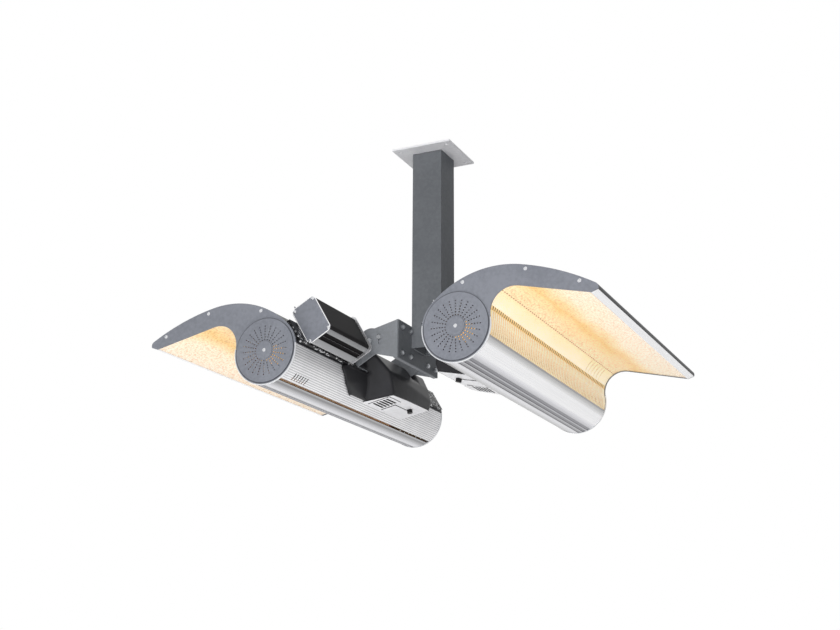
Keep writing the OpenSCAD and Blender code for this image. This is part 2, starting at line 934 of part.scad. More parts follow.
// Grey end cover of the control box, with a small gland boss
module box_cover() {
    color("#7b7d85")
        difference() {
            union() {
                span(cover_y, cover_y + cover_t)
                    box_outline(0);
                translate([-rail_out - box_r, cover_y + cover_t / 2, box_top - eps])
                    cylinder(r = cover_t / 2, h = 7);
            }
            each_cover_screw()
                cylinder(r = screw_r + loose, h = 20, center = true);
        }
}

// Bright flange plate at the bracket end of the control box
module box_flange() {
    flange_t = 3;
    over = 6;
    color("gainsboro")
        span(box_y0 - flange_t, box_y0)
            round_box([-box_out - over, box_low - over], [-rail_out, box_top + 2], box_r);
}

// Where the raked front lies over a corner centre, for round corners of the hood's radius
function front_y(p) = rake_k - hood_r * norm(rake_n) + rake_n[0] * p[0] - rake_n[2] * p[1];

// Corner centres of a part of the hood: one section at the place y0, one at y1 or at the raked front
function corners(section0, y0, section1, y1) = concat(
    [for (p = section0) [-p[0], y0, p[1]]],
    [for (p = section1) [-p[0], min(y1, front_y(p)), p[1]]]);

// Solid whose skin lies at radius r round its corner centres
module rounded(centres, r) {
    hull()
        for (p = centres)
            translate(p)
                sphere(r, $fn = 16);
}

// The low part of the hood, with its skin at radius r round the corner centres
module hood_low_part(r) {
    rounded(corners(hood_far, hood_end + hood_r, hood_front, far), r);
}

// The shoulder: it keeps clear of rail and bracket, and under the ears
module shoulder_part(r) {
    inset = hood_r - r;
    peak = [-shoulder_peak[0], front_y(shoulder_peak), shoulder_peak[1]];
    along = [for (p = hood_shoulder) let (q = polar(skin_r - 3, p[0])) [q[0], p[1], q[1]]];
    difference() {
        rounded(concat([peak], along), r);
        translate([-far / 2, hump_y - inset, hood_top - inset])
            cube(far);
        translate([-rail_out - bracket_t - gap - inset, -far / 2, hood_top - inset])
            cube(far);
    }
}

// Body of the hood: its low part, the hump, the tall end and the shoulder
module hood_body(r) {
    hood_low_part(r);
    rounded(corners(hood_hump, hood_r - hump_y, hood_hump, far), r);
    rounded(corners(hood_tall, tall_end + hood_r, hood_tall, tall_y - hood_r), r);
    shoulder_part(r);
}

// Black cowl of the blower: thin walls, open to the drum and below
module hood() {
    color("#353538")
        difference() {
            hood_body(hood_r);
            hood_body(hood_r - hood_t);
            on_base()
                translate([-far / 2, -far / 2, -far])
                    cube(far);
            rotate([90, 0, 0])
                cylinder(r = skin_r + gap, h = far, center = true);
            translate([-valve_axis[0], 0, valve_axis[1]])
                rotate([90, 0, 0])
                    cylinder(r = inlet_r + gap, h = far);
        }
}

valve_axis = [-polar(valve_r0 + valve_h / 2, valve_dir)[0], polar(valve_r0 + valve_h / 2, valve_dir)[1]];

// Lays children on the bottom plate: X along the plate from its foot, Y along the drum, Z into the hood
module on_base() {
    translate([-hood_foot[0], 0, hood_foot[1]])
        rotate([0, 180 + atan2(base_d[1], base_d[0]), 0])
            mirror([0, 0, 1])
                children();
}

// Pale bottom plate of the hood, with the air slots and the service panel
module hood_base() {
    slot_run = (air_x1 - air_x0 - 2 * air_rim) / air_slots;
    color("gainsboro")
        difference() {
            intersection() {
                on_base() {
                    translate([0, hood_end, 0])
                        cube([base_w + hood_r, head_l, base_t]);
                    translate([panel_x0, panel_y0, -2])
                        cube([panel_x1 - panel_x0, panel_y1 - panel_y0, 2 + eps]);
                    translate([air_x0, air_y0, -1.5])
                        cube([air_x1 - air_x0, air_y1 - air_y0, 1.5 + eps]);
                    for (e = [-1, 1])
                        translate([fan_x - 5, fan_y + e * (fan_r + 6) - 3, base_t - eps])
                            cube([10, 6, fan_lift + fan_h + 3 + eps]);
                }
                hood_low_part(hood_r - hood_t - gap);
            }
            rotate([90, 0, 0])
                cylinder(r = drum_r + gap, h = far, center = true);
            on_base() {
                for (i = [0 : air_slots - 1])
                    translate([air_x0 + air_rim + (i + 0.2) * slot_run, air_y0 + air_rim, -5])
                        cube([slot_run * 0.6, air_y1 - air_y0 - 2 * air_rim, 12]);
                translate([knob_x, knob_y, -5])
                    cylinder(r = 3 + loose, h = 12);
            }
        }
}

// Knurled knob that locks the service panel with a quarter turn
module latch_knob() {
    color("#202022")
        on_base()
            translate([knob_x, knob_y, 0]) {
                translate([0, 0, -0.3 - knob_l])
                    cylinder(r = knob_r, h = knob_l, $fn = 12);
                translate([0, 0, -1])
                    cylinder(r = 3, h = base_t + 3);
                translate([0, 0, base_t + 0.4])
                    translate([-9, -2.5, 0])
                        cube([18, 5, 2.5]);
            }
}

// Blower wheel: back disc, blades and shaft
module fan_wheel() {
    blades = 12;
    color("#8a8d90")
        on_base()
            translate([fan_x, fan_y, base_t + fan_lift]) {
                translate([0, 0, fan_h - 2])
                    cylinder(r = fan_r, h = 2);
                difference() {
                    cylinder(r = fan_r, h = 1.5);
                    translate([0, 0, -eps])
                        cylinder(r = fan_r - 6, h = 3);
                }
                cylinder(r = 6, h = fan_h);
                for (i = [0 : blades - 1])
                    rotate([0, 0, i * 360 / blades])
                        translate([fan_r - 6.5, -0.6, 0])
                            rotate([0, 0, 25])
                                cube([6, 1.2, fan_h - 1]);
                cylinder(r = fan_shaft_r, h = fan_h + 3 + gantry_t + 10);
            }
}

// Motor on the bridge that stands on the bottom plate's two posts
module fan_motor() {
    z0 = base_t + fan_lift + fan_h + 3;
    color("#5a5c60")
        on_base()
            translate([fan_x, fan_y, z0])
                difference() {
                    union() {
                        translate([-5, -fan_r - 9, 0])
                            cube([10, 2 * fan_r + 18, gantry_t]);
                        cylinder(r = motor_r, h = gantry_t + motor_h);
                    }
                    translate([0, 0, -eps])
                        cylinder(r = fan_shaft_r + run, h = gantry_t + 11 + eps);
                }
}

// Brass valve block with its inlet through the hood's end and its mixing tube into the burner
module gas_valve() {
    color("goldenrod")
        difference() {
            union() {
                translate([0, valve_y, 0])
                    rotate([0, 90 - valve_dir, 0]) {
                        translate([-16, -valve_w / 2, valve_r0])
                            cube([32, valve_w, valve_h]);
                        translate([0, 0, burner_r - 4])
                            cylinder(r = mix_r, h = valve_r0 - burner_r + 4 + eps);
                    }
                translate([-valve_axis[0], valve_y, valve_axis[1]])
                    rotate([90, 0, 0]) {
                        cylinder(r = inlet_r, h = valve_y - hood_end + inlet_l);
                        translate([0, 0, valve_y - hood_end + 2])
                            cylinder(r = inlet_r + 4, h = 8, $fn = 6);
                    }
            }
            rotate([90, 0, 0])
                cylinder(r = burner_r + 0.1, h = far, center = true);
            translate([-valve_axis[0], valve_y, valve_axis[1]])
                rotate([90, 0, 0])
                    translate([0, 0, valve_y - hood_end + inlet_l - 12])
                        cylinder(r = inlet_r - 2.5, h = 20);
        }
}

ceiling_plate();
drop_tube();
arm_bracket("left");  // left_arm_bracket
arm_bracket("right");  // right_arm_bracket
bracket_bolts();
for (s = SIDES)
    place(s) {
        box_end_plate();
        hood_end_plate();
        box_end_cap();
        hood_end_cap();
        end_rings();
        head_screws();
        lower_shell();
        back_mesh();
        radiant_screen();
        reflector();
        top_cover();
        tip_trim();
        burner_tube();
        inner_shield();
        igniter();
        back_rail();
        tilt_bracket();
        tilt_bolts();
        control_box();
        box_cover();
        box_flange();
        hood();
        hood_base();
        latch_knob();
        fan_wheel();
        fan_motor();
        gas_valve();
    }
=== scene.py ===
"""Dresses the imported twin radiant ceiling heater: finishes, fine pieces, light and camera.

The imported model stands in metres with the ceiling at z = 0. Each head has axes of its own, seen
level: x runs outwards from the drum axis, y along the drum and z up. Sizes whose names end in mm
are millimetres in those axes.
"""
import json
import logging
import math
from collections.abc import Sequence
from dataclasses import dataclass, field
from enum import Enum

import bpy
from mathutils import Euler, Matrix, Vector

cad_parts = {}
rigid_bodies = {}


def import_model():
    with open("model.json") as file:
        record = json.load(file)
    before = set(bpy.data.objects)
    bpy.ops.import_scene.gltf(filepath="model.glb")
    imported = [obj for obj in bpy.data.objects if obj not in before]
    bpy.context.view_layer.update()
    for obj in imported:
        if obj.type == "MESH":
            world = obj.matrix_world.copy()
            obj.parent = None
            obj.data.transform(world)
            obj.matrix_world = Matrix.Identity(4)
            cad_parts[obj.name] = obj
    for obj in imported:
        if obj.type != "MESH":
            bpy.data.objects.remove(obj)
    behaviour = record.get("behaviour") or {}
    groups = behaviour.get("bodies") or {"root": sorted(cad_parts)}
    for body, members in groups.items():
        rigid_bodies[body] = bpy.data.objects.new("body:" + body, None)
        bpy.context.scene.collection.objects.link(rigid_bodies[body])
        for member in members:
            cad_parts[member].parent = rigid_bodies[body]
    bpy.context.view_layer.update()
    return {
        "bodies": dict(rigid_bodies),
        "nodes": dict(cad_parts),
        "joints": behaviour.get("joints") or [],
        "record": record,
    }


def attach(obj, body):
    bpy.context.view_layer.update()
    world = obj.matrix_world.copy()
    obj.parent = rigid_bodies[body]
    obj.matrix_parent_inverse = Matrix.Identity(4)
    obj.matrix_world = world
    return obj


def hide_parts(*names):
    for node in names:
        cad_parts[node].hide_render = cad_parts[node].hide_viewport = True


LOG = logging.getLogger("heater")
MM = 0.001

# Short names of types; stops are values, each with the sRGB hex value that it gets
Tree = bpy.types.NodeTree
Node = bpy.types.Node
Socket = bpy.types.NodeSocket
Piece = bpy.types.Object
Stops = Sequence[tuple[float, str]]


class Side(Enum):
    """The two heads of the heater."""

    LEFT = "left"
    RIGHT = "right"

    @property
    def half_turn(self) -> float:
        """Turn about Z that carries the right head to this side."""
        return math.pi if self is Side.LEFT else 0.0


@dataclass(frozen=True)
class HeadFrame:
    """Where a head's own axes lie at rest."""

    # The right head's pivot, and how far it lies in from the drum axis and above it, seen level
    pivot_x: float = 147 * MM
    pivot_z: float = -646 * MM
    pivot_out: float = 180 * MM
    pivot_up: float = 12 * MM
    tilt: float = math.radians(30)
    # The hood's bottom plate runs from its foot to its corner, in the head's x and z
    foot_mm: tuple[float, float] = (-34.0, -93.0)
    corner_mm: tuple[float, float] = (-131.0, -124.7)

    def origin(self, side: Side) -> Vector:
        """Place of the drum axis at the middle of the head.

        Args:
            side: The head.

        Returns:
            The point in the row frame, in metres.
        """
        tilted = Matrix.Rotation(self.tilt, 3, "Y") @ Vector((self.pivot_out, 0, -self.pivot_up))
        point = tilted + Vector((self.pivot_x, 0, self.pivot_z))
        return Matrix.Rotation(side.half_turn, 3, "Z") @ point

    def turn(self, side: Side) -> Euler:
        """Turn of the head's own axes."""
        return Euler((0.0, self.tilt, side.half_turn))

    def matrix(self, side: Side) -> Matrix:
        """Matrix from the head's own axes to the row frame."""
        return Matrix.Translation(self.origin(side)) @ self.turn(side).to_matrix().to_4x4()

    def along_plate(self) -> Vector:
        """Direction of the bottom plate away from its foot, in the head's x and z."""
        return (Vector(self.corner_mm) - Vector(self.foot_mm)).normalized()

    def out_of_plate(self) -> Vector:
        """Direction straight out of the bottom plate, in the head's x and z."""
        along = self.along_plate()
        return Vector((-along.y, along.x))


HEAD = HeadFrame()


def linear(shade: str) -> tuple[float, float, float, float]:
    """Turns an sRGB hex value to the linear colour that a shader takes, by the sRGB curve.

    Args:
        shade: Six hex digits after a hash.

    Returns:
        Red, green, blue and alpha, linear.
    """
    parts = [int(shade[i:i + 2], 16) / 255 for i in (1, 3, 5)]
    red, green, blue = [
        p / 12.92 if p <= 0.04045 else ((p + 0.055) / 1.055) ** 2.4 for p in parts
    ]
    return red, green, blue, 1.0


def add_node(tree: Tree, kind: str, settings: dict | str | None = None, **inputs: object) -> Node:
    """Adds a shader node with its settings and links.

    Args:
        tree: The node tree.
        kind: Node type without the ShaderNode prefix.
        settings: Properties of the node itself, or only the name of its operation.
        inputs: Socket names, with spaces as underscores, or in0, in1 for a place in the list.
            A socket is linked and anything else is set.

    Returns:
        The new node.
    """
    node = tree.nodes.new("ShaderNode" + kind)
    if isinstance(settings, str):
        settings = {"operation": settings}
    for key, value in (settings or {}).items():
        setattr(node, key, value)
    for key, value in inputs.items():
        name = int(key[2:]) if key[:2] == "in" and key[2:].isdigit() else key.replace("_", " ")
        socket = node.inputs[name]
        if isinstance(value, bpy.types.NodeSocket):
            tree.links.new(value, socket)
        else:
            socket.default_value = value
    return node


def shades(tree: Tree, value: Socket, stops: Stops) -> Socket:
    """Adds a colour ramp whose stops are written in the value's own unit.

    Args:
        tree: The node tree.
        value: What the ramp reads.
        stops: Values with their sRGB hex values, in rising order.

    Returns:
        The ramp's colour.
    """
    low, high = stops[0][0], stops[-1][0]
    share = add_node(tree, "MapRange", Value=value, From_Min=low, From_Max=high)
    ramp = add_node(tree, "ValToRGB", in0=share.outputs[0])
    elements = ramp.color_ramp.elements
    while len(elements) < len(stops):
        elements.new(0.5)
    for element, (at, shade) in zip(elements, stops):
        element.position = (at - low) / (high - low)
        element.color = linear(shade)
    return ramp.outputs[0]


def blended(tree: Tree, factor: object, low: object, high: object, how: str = "MIX") -> Socket:
    """Mixes two colours.

    Args:
        tree: The node tree.
        factor: Share of the second colour, a number or a socket.
        low: First colour, a hex value or a socket.
        high: Second colour, a hex value or a socket.
        how: Blender's name of the blend.

    Returns:
        The mixed colour.
    """
    pair = [linear(part) if isinstance(part, str) else part for part in (low, high)]
    mix = add_node(tree, "Mix", {"data_type": "RGBA", "blend_type": how}, in0=factor,
                   in6=pair[0], in7=pair[1])
    return mix.outputs[2]


def in_mm(tree: Tree, space: Socket, axis: int) -> Socket:
    """One coordinate in millimetres."""
    parts = add_node(tree, "SeparateXYZ", Vector=space)
    scaled = add_node(tree, "Math", "DIVIDE", in0=parts.outputs[axis], in1=MM)
    return scaled.outputs[0]


def round_drum(tree: Tree, space: Socket) -> tuple[Socket, Socket]:
    """Angle in degrees round the drum from straight outwards, and distance from its axis in mm."""
    across, up = in_mm(tree, space, 0), in_mm(tree, space, 2)
    turn = add_node(tree, "Math", "ARCTAN2", in0=up, in1=across)
    angle = add_node(tree, "Math", "DEGREES", in0=turn.outputs[0])
    flat = add_node(tree, "CombineXYZ", X=across, Y=up)
    reach = add_node(tree, "VectorMath", "LENGTH", in0=flat.outputs[0])
    return angle.outputs[0], reach.outputs["Value"]


def wave_scale(step_mm: float) -> float:
    """Scale that gives a wave texture, which repeats 20 times in a full turn, a real step."""
    return math.tau / 20 / (step_mm * MM)


@dataclass(frozen=True)
class Finish:
    """What a surface is made of, and how it was made."""

    name: str
    colour: str
    second: str
    metallic: float = 0.0
    roughness: float = 0.5
    # How far the roughness runs below and above that value
    spread: tuple[float, float] = (0.05, 0.07)
    specular: float = 0.5
    # Radius of the rounding that the eye sees along sharp edges, and depth of the pattern
    edge_mm: float = 0.6
    depth_mm: float = 0.02

    def material(self, side: Side | None = None) -> bpy.types.Material:
        """Builds the material once for a side, or once for all.

        Args:
            side: The head whose own axes the pattern follows, if it has one.

        Returns:
            The Blender material.
        """
        label = f"{self.name}_{side.value}" if side else self.name
        made = bpy.data.materials.get(label)
        if made:
            return made
        made = bpy.data.materials.new(label)
        made.use_nodes = True
        tree = made.node_tree
        shader = tree.nodes["Principled BSDF"]
        shader.inputs["Base Color"].default_value = linear(self.colour)
        shader.inputs["Metallic"].default_value = self.metallic
        shader.inputs["Roughness"].default_value = self.roughness
        shader.inputs["Specular IOR Level"].default_value = self.specular
        made.diffuse_color = linear(self.colour)
        self.pattern(tree, shader, self.space(tree, side))
        return made

    def space(self, tree: Tree, side: Side | None) -> Socket:
        """Coordinates of the pattern in metres, in the head's own axes where it has a side."""
        raw = add_node(tree, "TexCoord").outputs["Object"]
        if side is None:
            return raw
        mapping = add_node(tree, "Mapping", {"vector_type": "TEXTURE"}, Vector=raw,
                           Location=HEAD.origin(side), Rotation=HEAD.turn(side))
        return mapping.outputs[0]

    def grain(self, tree: Tree, space: Socket, size_mm: float,
              stretch: tuple[float, float, float] = (1, 1, 1), detail: float = 3.0) -> Socket:
        """Noise of a real size.

        Args:
            tree: The node tree.
            space: Coordinates in metres.
            size_mm: Width of one grain.
            stretch: How much longer the grain is along each axis.
            detail: Finer steps in the noise.

        Returns:
            The noise value.
        """
        scale = [1 / (size_mm * MM * s) for s in stretch]
        sized = add_node(tree, "Mapping", Vector=space, Scale=scale)
        noise = add_node(tree, "TexNoise", Vector=sized.outputs[0], Scale=1.0, Detail=detail)
        return noise.outputs[0]

    def two_tone(self, tree: Tree, value: Socket, low: float = 0.3, high: float = 0.7) -> Socket:
        """Runs from the second colour to the first as a value rises.

        Args:
            tree: The node tree.
            value: What the shade follows, most often a noise.
            low: Value that is all second colour.
            high: Value that is all first colour.

        Returns:
            The colour.
        """
        return shades(tree, value, [(low, self.second), (high, self.colour)])

    def relief(self, tree: Tree, shader: Node, height: Socket) -> None:
        """Adds bump of the pattern's depth, over softly rounded edges."""
        edge = add_node(tree, "Bevel", {"samples": 4}, Radius=self.edge_mm * MM)
        bump = add_node(tree, "Bump", Height=height, Distance=self.depth_mm * MM, Strength=1.0,
                        Normal=edge.outputs[0])
        tree.links.new(bump.outputs[0], shader.inputs["Normal"])

    def vary(self, tree: Tree, shader: Node, factor: Socket) -> None:
        """Lets the roughness run over its spread."""
        below, above = self.spread
        run = add_node(tree, "MapRange", Value=factor, To_Min=self.roughness - below,
                       To_Max=self.roughness + above)
        tree.links.new(run.outputs[0], shader.inputs["Roughness"])

    def pattern(self, tree: Tree, shader: Node, space: Socket) -> None:
        """Adds what is special to the finish."""
        raise NotImplementedError


@dataclass(frozen=True)
class PowderCoat(Finish):
    """Powder-coated steel sheet: baked polyester paint with a faint orange peel."""

    peel_mm: float = 1.6
    mottle_mm: float = 9.0
    # Handling and dust let the shade drift slowly over this width
    drift_mm: float = 140.0
    # Sums of the two noises that are all second and all first colour
    tones: tuple[float, float] = (0.8, 1.2)
    # Radius of the painted shadow line round a cap, where the coat is drawn darker; nought for
    # nowhere
    rim_shadow_mm: float = 0.0
    rim_shadow_width_mm: float = 0.8
    rim: str = "#43464c"

    def pattern(self, tree: Tree, shader: Node, space: Socket) -> None:
        """Draws peel, fine mottling and the slow drift of shade."""
        drift = self.grain(tree, space, self.drift_mm, detail=2.0)
        mottle = self.grain(tree, space, self.mottle_mm, detail=5.0)
        mixed = add_node(tree, "Math", "ADD", in0=drift, in1=mottle)
        coat = self.two_tone(tree, mixed.outputs[0], *self.tones)
        # Painted shadow line round the cap's edge
        if self.rim_shadow_mm:
            reach = round_drum(tree, space)[1]
            line = add_node(tree, "MapRange", Value=reach,
                            From_Min=self.rim_shadow_mm - self.rim_shadow_width_mm, From_Max=self.rim_shadow_mm)
            coat = blended(tree, line.outputs[0], coat, self.rim)
        tree.links.new(coat, shader.inputs["Base Color"])
        peel = self.grain(tree, space, self.peel_mm)
        self.vary(tree, shader, peel)
        self.relief(tree, shader, peel)


@dataclass(frozen=True)
class BottomPlate(PowderCoat):
    """Pale coated plate with painted shade in its cut edges, inside, and in gaps round raised
    parts.
    """

    # Heights of the faces of the plate, the slot frame and the service panel
    faces_mm: tuple[float, ...] = (0.0, 1.5, 2.0)
    # Service panel and slot frame: from and to along the plate, then along the drum
    raised_mm: tuple[tuple[float, float, float, float], ...] = (
        (8.0, 58.0, -150.0, -70.0), (8.0, 82.0, -62.0, 20.0))
    # Width of the painted shadow gap round each raised part
    shadow_gap_mm: float = 1.4
    # How far from a face a point may lie and still count as on it
    skin_mm: float = 0.06
    # Painted shade of the cut edges, the inside and the shadow gaps
    dark: str = "#1b1b1e"

    def from_foot(self, tree: Tree, space: Socket, way: Vector) -> Socket:
        """Distance from the plate's foot in one direction of the head's x and z."""
        dot = add_node(tree, "VectorMath", "DOT_PRODUCT", in0=space,
                       in1=(way.x / MM, 0.0, way.y / MM))
        moved = add_node(tree, "Math", "SUBTRACT", in0=dot.outputs["Value"],
                         in1=Vector(HEAD.foot_mm).dot(way))
        return moved.outputs[0]

    def level(self, tree: Tree, height: Socket, face: float) -> Socket:
        """One on a face of that height, and nought elsewhere."""
        near = add_node(tree, "Math", "COMPARE", in0=height, in1=face, in2=self.skin_mm)
        return near.outputs[0]

    @staticmethod
    def beyond(tree: Tree, place: Socket, low: float, high: float) -> Socket:
        """How far a place lies outside a range, below nought within it."""
        off = add_node(tree, "Math", "SUBTRACT", in0=place, in1=(low + high) / 2)
        far = add_node(tree, "Math", "ABSOLUTE", in0=off.outputs[0])
        past = add_node(tree, "Math", "SUBTRACT", in0=far.outputs[0], in1=(high - low) / 2)
        return past.outputs[0]

    def pattern(self, tree: Tree, shader: Node, space: Socket) -> None:
        """Keeps the coat on the open faces and paints shade on the rest."""
        super().pattern(tree, shader, space)
        coat = shader.inputs["Base Color"].links[0].from_socket
        height = self.from_foot(tree, space, HEAD.out_of_plate())
        run = self.from_foot(tree, space, HEAD.along_plate())
        across = in_mm(tree, space, 1)
        pale: object = 0.0
        for face in self.faces_mm:
            pale = add_node(tree, "Math", "MAXIMUM", in1=pale,
                            in0=self.level(tree, height, face)).outputs[0]
        # Painted shadow gaps round the raised parts
        for from_run, to_run, from_y, to_y in self.raised_mm:
            far = add_node(tree, "Math", "MAXIMUM",
                           in0=self.beyond(tree, run, from_run, to_run),
                           in1=self.beyond(tree, across, from_y, to_y))
            close = add_node(tree, "Math", "LESS_THAN", in0=far.outputs[0], in1=self.shadow_gap_mm)
            shadow_gap = add_node(tree, "Math", "MULTIPLY", in0=close.outputs[0],
                           in1=self.level(tree, height, self.faces_mm[0]))
            pale = add_node(tree, "Math", {"operation": "SUBTRACT", "use_clamp": True}, in0=pale,
                            in1=shadow_gap.outputs[0]).outputs[0]
        tree.links.new(blended(tree, pale, self.dark, coat), shader.inputs["Base Color"])


@dataclass(frozen=True)
class DrawnMetal(Finish):
    """Bare rolled or drawn metal with fine lines along the drum."""

    line_mm: float = 0.7
    spread: tuple[float, float] = (0.08, 0.08)
    depth_mm: float = 0.012

    def pattern(self, tree: Tree, shader: Node, space: Socket) -> None:
        """Draws long lines, which pull highlights out along the length."""
        lines = self.grain(tree, space, self.line_mm, stretch=(1, 220, 1), detail=2.0)
        tree.links.new(self.two_tone(tree, lines), shader.inputs["Base Color"])
        self.vary(tree, shader, lines)
        self.relief(tree, shader, lines)


@dataclass(frozen=True)
class PolishedShell(Finish):
    """Polished aluminium shell: painted bands of reflection and shade round the drum, drawn along
    it.
    """

    # Painted reflection and shade by the angle round the drum in degrees, and the polishing lines'
    # share
    bands: Stops = ()
    line_share: float = 0.4
    line_mm: float = 1.4
    waver_mm: float = 24.0
    depth_mm: float = 0.01

    def pattern(self, tree: Tree, shader: Node, space: Socket) -> None:
        """Draws the painted bands with their edges slightly wavy, and the polishing lines."""
        angle = round_drum(tree, space)[0]
        waver = self.grain(tree, space, self.waver_mm, stretch=(1, 30, 1), detail=2.0)
        moved = add_node(tree, "Math", "ADD", in0=angle, in1=waver)
        bands = shades(tree, moved.outputs[0], self.bands)
        lines = self.grain(tree, space, self.line_mm, stretch=(1, 160, 1))
        polish = self.two_tone(tree, lines, high=0.6)
        shade = blended(tree, self.line_share, bands, polish, "MULTIPLY")
        tree.links.new(shade, shader.inputs["Base Color"])
        self.vary(tree, shader, lines)
        self.relief(tree, shader, lines)


@dataclass(frozen=True)
class RolledRing(Finish):
    """Rolled bright ring, with a painted shadow on its inner lip and a painted highlight on its
    bead.
    """

    # Painted shadow and highlight by the distance from the drum axis
    by_radius_mm: Stops = ()
    mottle_mm: float = 3.0
    spread: tuple[float, float] = (0.04, 0.08)

    def pattern(self, tree: Tree, shader: Node, space: Socket) -> None:
        """Draws the painted shadow and highlight, with a fine mottling."""
        reach = round_drum(tree, space)[1]
        mottle = self.grain(tree, space, self.mottle_mm)
        moved = add_node(tree, "Math", "ADD", in0=reach, in1=mottle)
        shade = shades(tree, moved.outputs[0], self.by_radius_mm)
        tree.links.new(shade, shader.inputs["Base Color"])
        self.vary(tree, shader, mottle)
        self.relief(tree, shader, mottle)


@dataclass(frozen=True)
class BoxExtrusion(Finish):
    """Black anodised extrusion with painted reflections of ribbed strips along its underside."""

    # Painted reflections and shade across the underside, and the height below which they show
    reflection_strips_mm: Stops = ()
    under_mm: float = -37.9
    line_mm: float = 1.2
    rib_mm: float = 3.4
    rib_share: float = 0.35
    # Painted highlight along each rib
    rib_shades: Stops = ((0.1, "#8c8c90"), (0.9, "#ffffff"))
    spread: tuple[float, float] = (0.05, 0.08)

    def pattern(self, tree: Tree, shader: Node, space: Socket) -> None:
        """Draws die lines along the box, and painted strip reflections where the underside faces
        down.
        """
        lines = self.grain(tree, space, self.line_mm, stretch=(1, 200, 1), detail=2.0)
        skin = self.two_tone(tree, lines)
        strips = shades(tree, in_mm(tree, space, 0), self.reflection_strips_mm)
        wave = add_node(tree, "TexWave", {"bands_direction": "X"}, Vector=space,
                        Scale=wave_scale(self.rib_mm))
        ribs = shades(tree, wave.outputs[1], self.rib_shades)
        ribbed = blended(tree, self.rib_share, strips, ribs, "MULTIPLY")
        low = add_node(tree, "Math", "LESS_THAN", in0=in_mm(tree, space, 2), in1=self.under_mm)
        tree.links.new(blended(tree, low.outputs[0], skin, ribbed), shader.inputs["Base Color"])
        self.vary(tree, shader, lines)
        self.relief(tree, shader, lines)


@dataclass(frozen=True)
class PerforatedRail(Finish):
    """Black-coated rail with small punched holes and clips, through which bright metal shows."""

    cell_mm: float = 8.0
    # Distances from a cell's middle, in cells, between which a bright spot fades
    spot: tuple[float, float] = (0.46, 0.36)
    patch_mm: float = 30.0
    # Noise values between which the spots appear
    patch: tuple[float, float] = (0.4, 0.46)
    depth_mm: float = 0.1

    def pattern(self, tree: Tree, shader: Node, space: Socket) -> None:
        """Draws the coat and its scattered bright spots."""
        sized = add_node(tree, "Mapping", Vector=space, Scale=[1 / (self.cell_mm * MM)] * 3)
        cells = add_node(tree, "TexVoronoi", Vector=sized.outputs[0], Scale=1.0, Randomness=0.8)
        spot = add_node(tree, "MapRange", Value=cells.outputs["Distance"], From_Min=self.spot[0],
                        From_Max=self.spot[1])
        patch = self.grain(tree, space, self.patch_mm)
        some = add_node(tree, "MapRange", Value=patch, From_Min=self.patch[0],
                        From_Max=self.patch[1])
        both = add_node(tree, "Math", "MULTIPLY", in0=spot.outputs[0], in1=some.outputs[0])
        tree.links.new(blended(tree, both.outputs[0], self.colour, self.second),
                       shader.inputs["Base Color"])
        self.relief(tree, shader, patch)


@dataclass(frozen=True)
class PlatedSteel(Finish):
    """Zinc-plated or bright machined metal, forged brass or glaze: small mottled grain."""

    mottle_mm: float = 2.0
    spread: tuple[float, float] = (0.06, 0.08)
    depth_mm: float = 0.01

    def pattern(self, tree: Tree, shader: Node, space: Socket) -> None:
        """Draws the mottling."""
        mottle = self.grain(tree, space, self.mottle_mm)
        tree.links.new(self.two_tone(tree, mottle), shader.inputs["Base Color"])
        self.vary(tree, shader, mottle)
        self.relief(tree, shader, mottle)


@dataclass(frozen=True)
class PerforatedSheet(Finish):
    """Aluminium sheet with staggered round holes, bent round the drum."""

    radius_mm: float = 100.0
    # The real rows stand about 4 mm apart; they are drawn 7 mm apart so that they show
    row_mm: float = 7.0
    pitch_mm: float = 4.6
    # Distances from a hole's middle, in pitches, between which its edge runs
    edge: tuple[float, float] = (0.24, 0.4)
    drift_mm: float = 90.0
    hole: str = "#a6a6aa"
    depth_mm: float = 0.4

    def pattern(self, tree: Tree, shader: Node, space: Socket) -> None:
        """Draws the holes on the unrolled sheet: length along the drum, and arc round it."""
        angle = round_drum(tree, space)[0]
        arc = add_node(tree, "Math", "MULTIPLY", in0=angle,
                       in1=math.radians(self.radius_mm) / self.row_mm)
        along = add_node(tree, "Math", "DIVIDE", in0=in_mm(tree, space, 1), in1=self.pitch_mm)
        flat = add_node(tree, "CombineXYZ", X=arc.outputs[0], Y=along.outputs[0])
        cells = add_node(tree, "TexVoronoi", {"voronoi_dimensions": "2D"},
                         Vector=flat.outputs[0], Scale=1.0, Randomness=0.0)
        rim = add_node(tree, "MapRange", Value=cells.outputs["Distance"],
                       From_Min=self.edge[0], From_Max=self.edge[1])
        drift = self.grain(tree, space, self.drift_mm)
        sheet = self.two_tone(tree, drift, low=0.35, high=0.65)
        tree.links.new(blended(tree, rim.outputs[0], self.hole, sheet),
                       shader.inputs["Base Color"])
        self.relief(tree, shader, rim.outputs[0])


@dataclass(frozen=True)
class LitFinish(Finish):
    """A surface that the burner lights or heats from inside."""

    glow: float = 1.0

    def light(self, tree: Tree, shader: Node, shade: Socket) -> None:
        """Colours the surface and lets it give off that colour."""
        tree.links.new(shade, shader.inputs["Base Color"])
        tree.links.new(shade, shader.inputs["Emission Color"])
        shader.inputs["Emission Strength"].default_value = self.glow

    def clouded(self, tree: Tree, space: Socket, axis: int, size_mm: float,
                reach_mm: float) -> Socket:
        """A coordinate moved to and fro by soft clouds, so that shades end unevenly.

        Args:
            tree: The node tree.
            space: Coordinates in metres.
            axis: Number of the coordinate.
            size_mm: Width of a cloud, which is three times as long along the drum.
            reach_mm: How far the clouds move it each way.

        Returns:
            The moved coordinate in millimetres.
        """
        cloud = self.grain(tree, space, size_mm, stretch=(1, 3, 1), detail=4.0)
        drift = add_node(tree, "MapRange", Value=cloud, To_Min=-reach_mm, To_Max=reach_mm)
        moved = add_node(tree, "Math", "ADD", in0=in_mm(tree, space, axis), in1=drift.outputs[0])
        return moved.outputs[0]


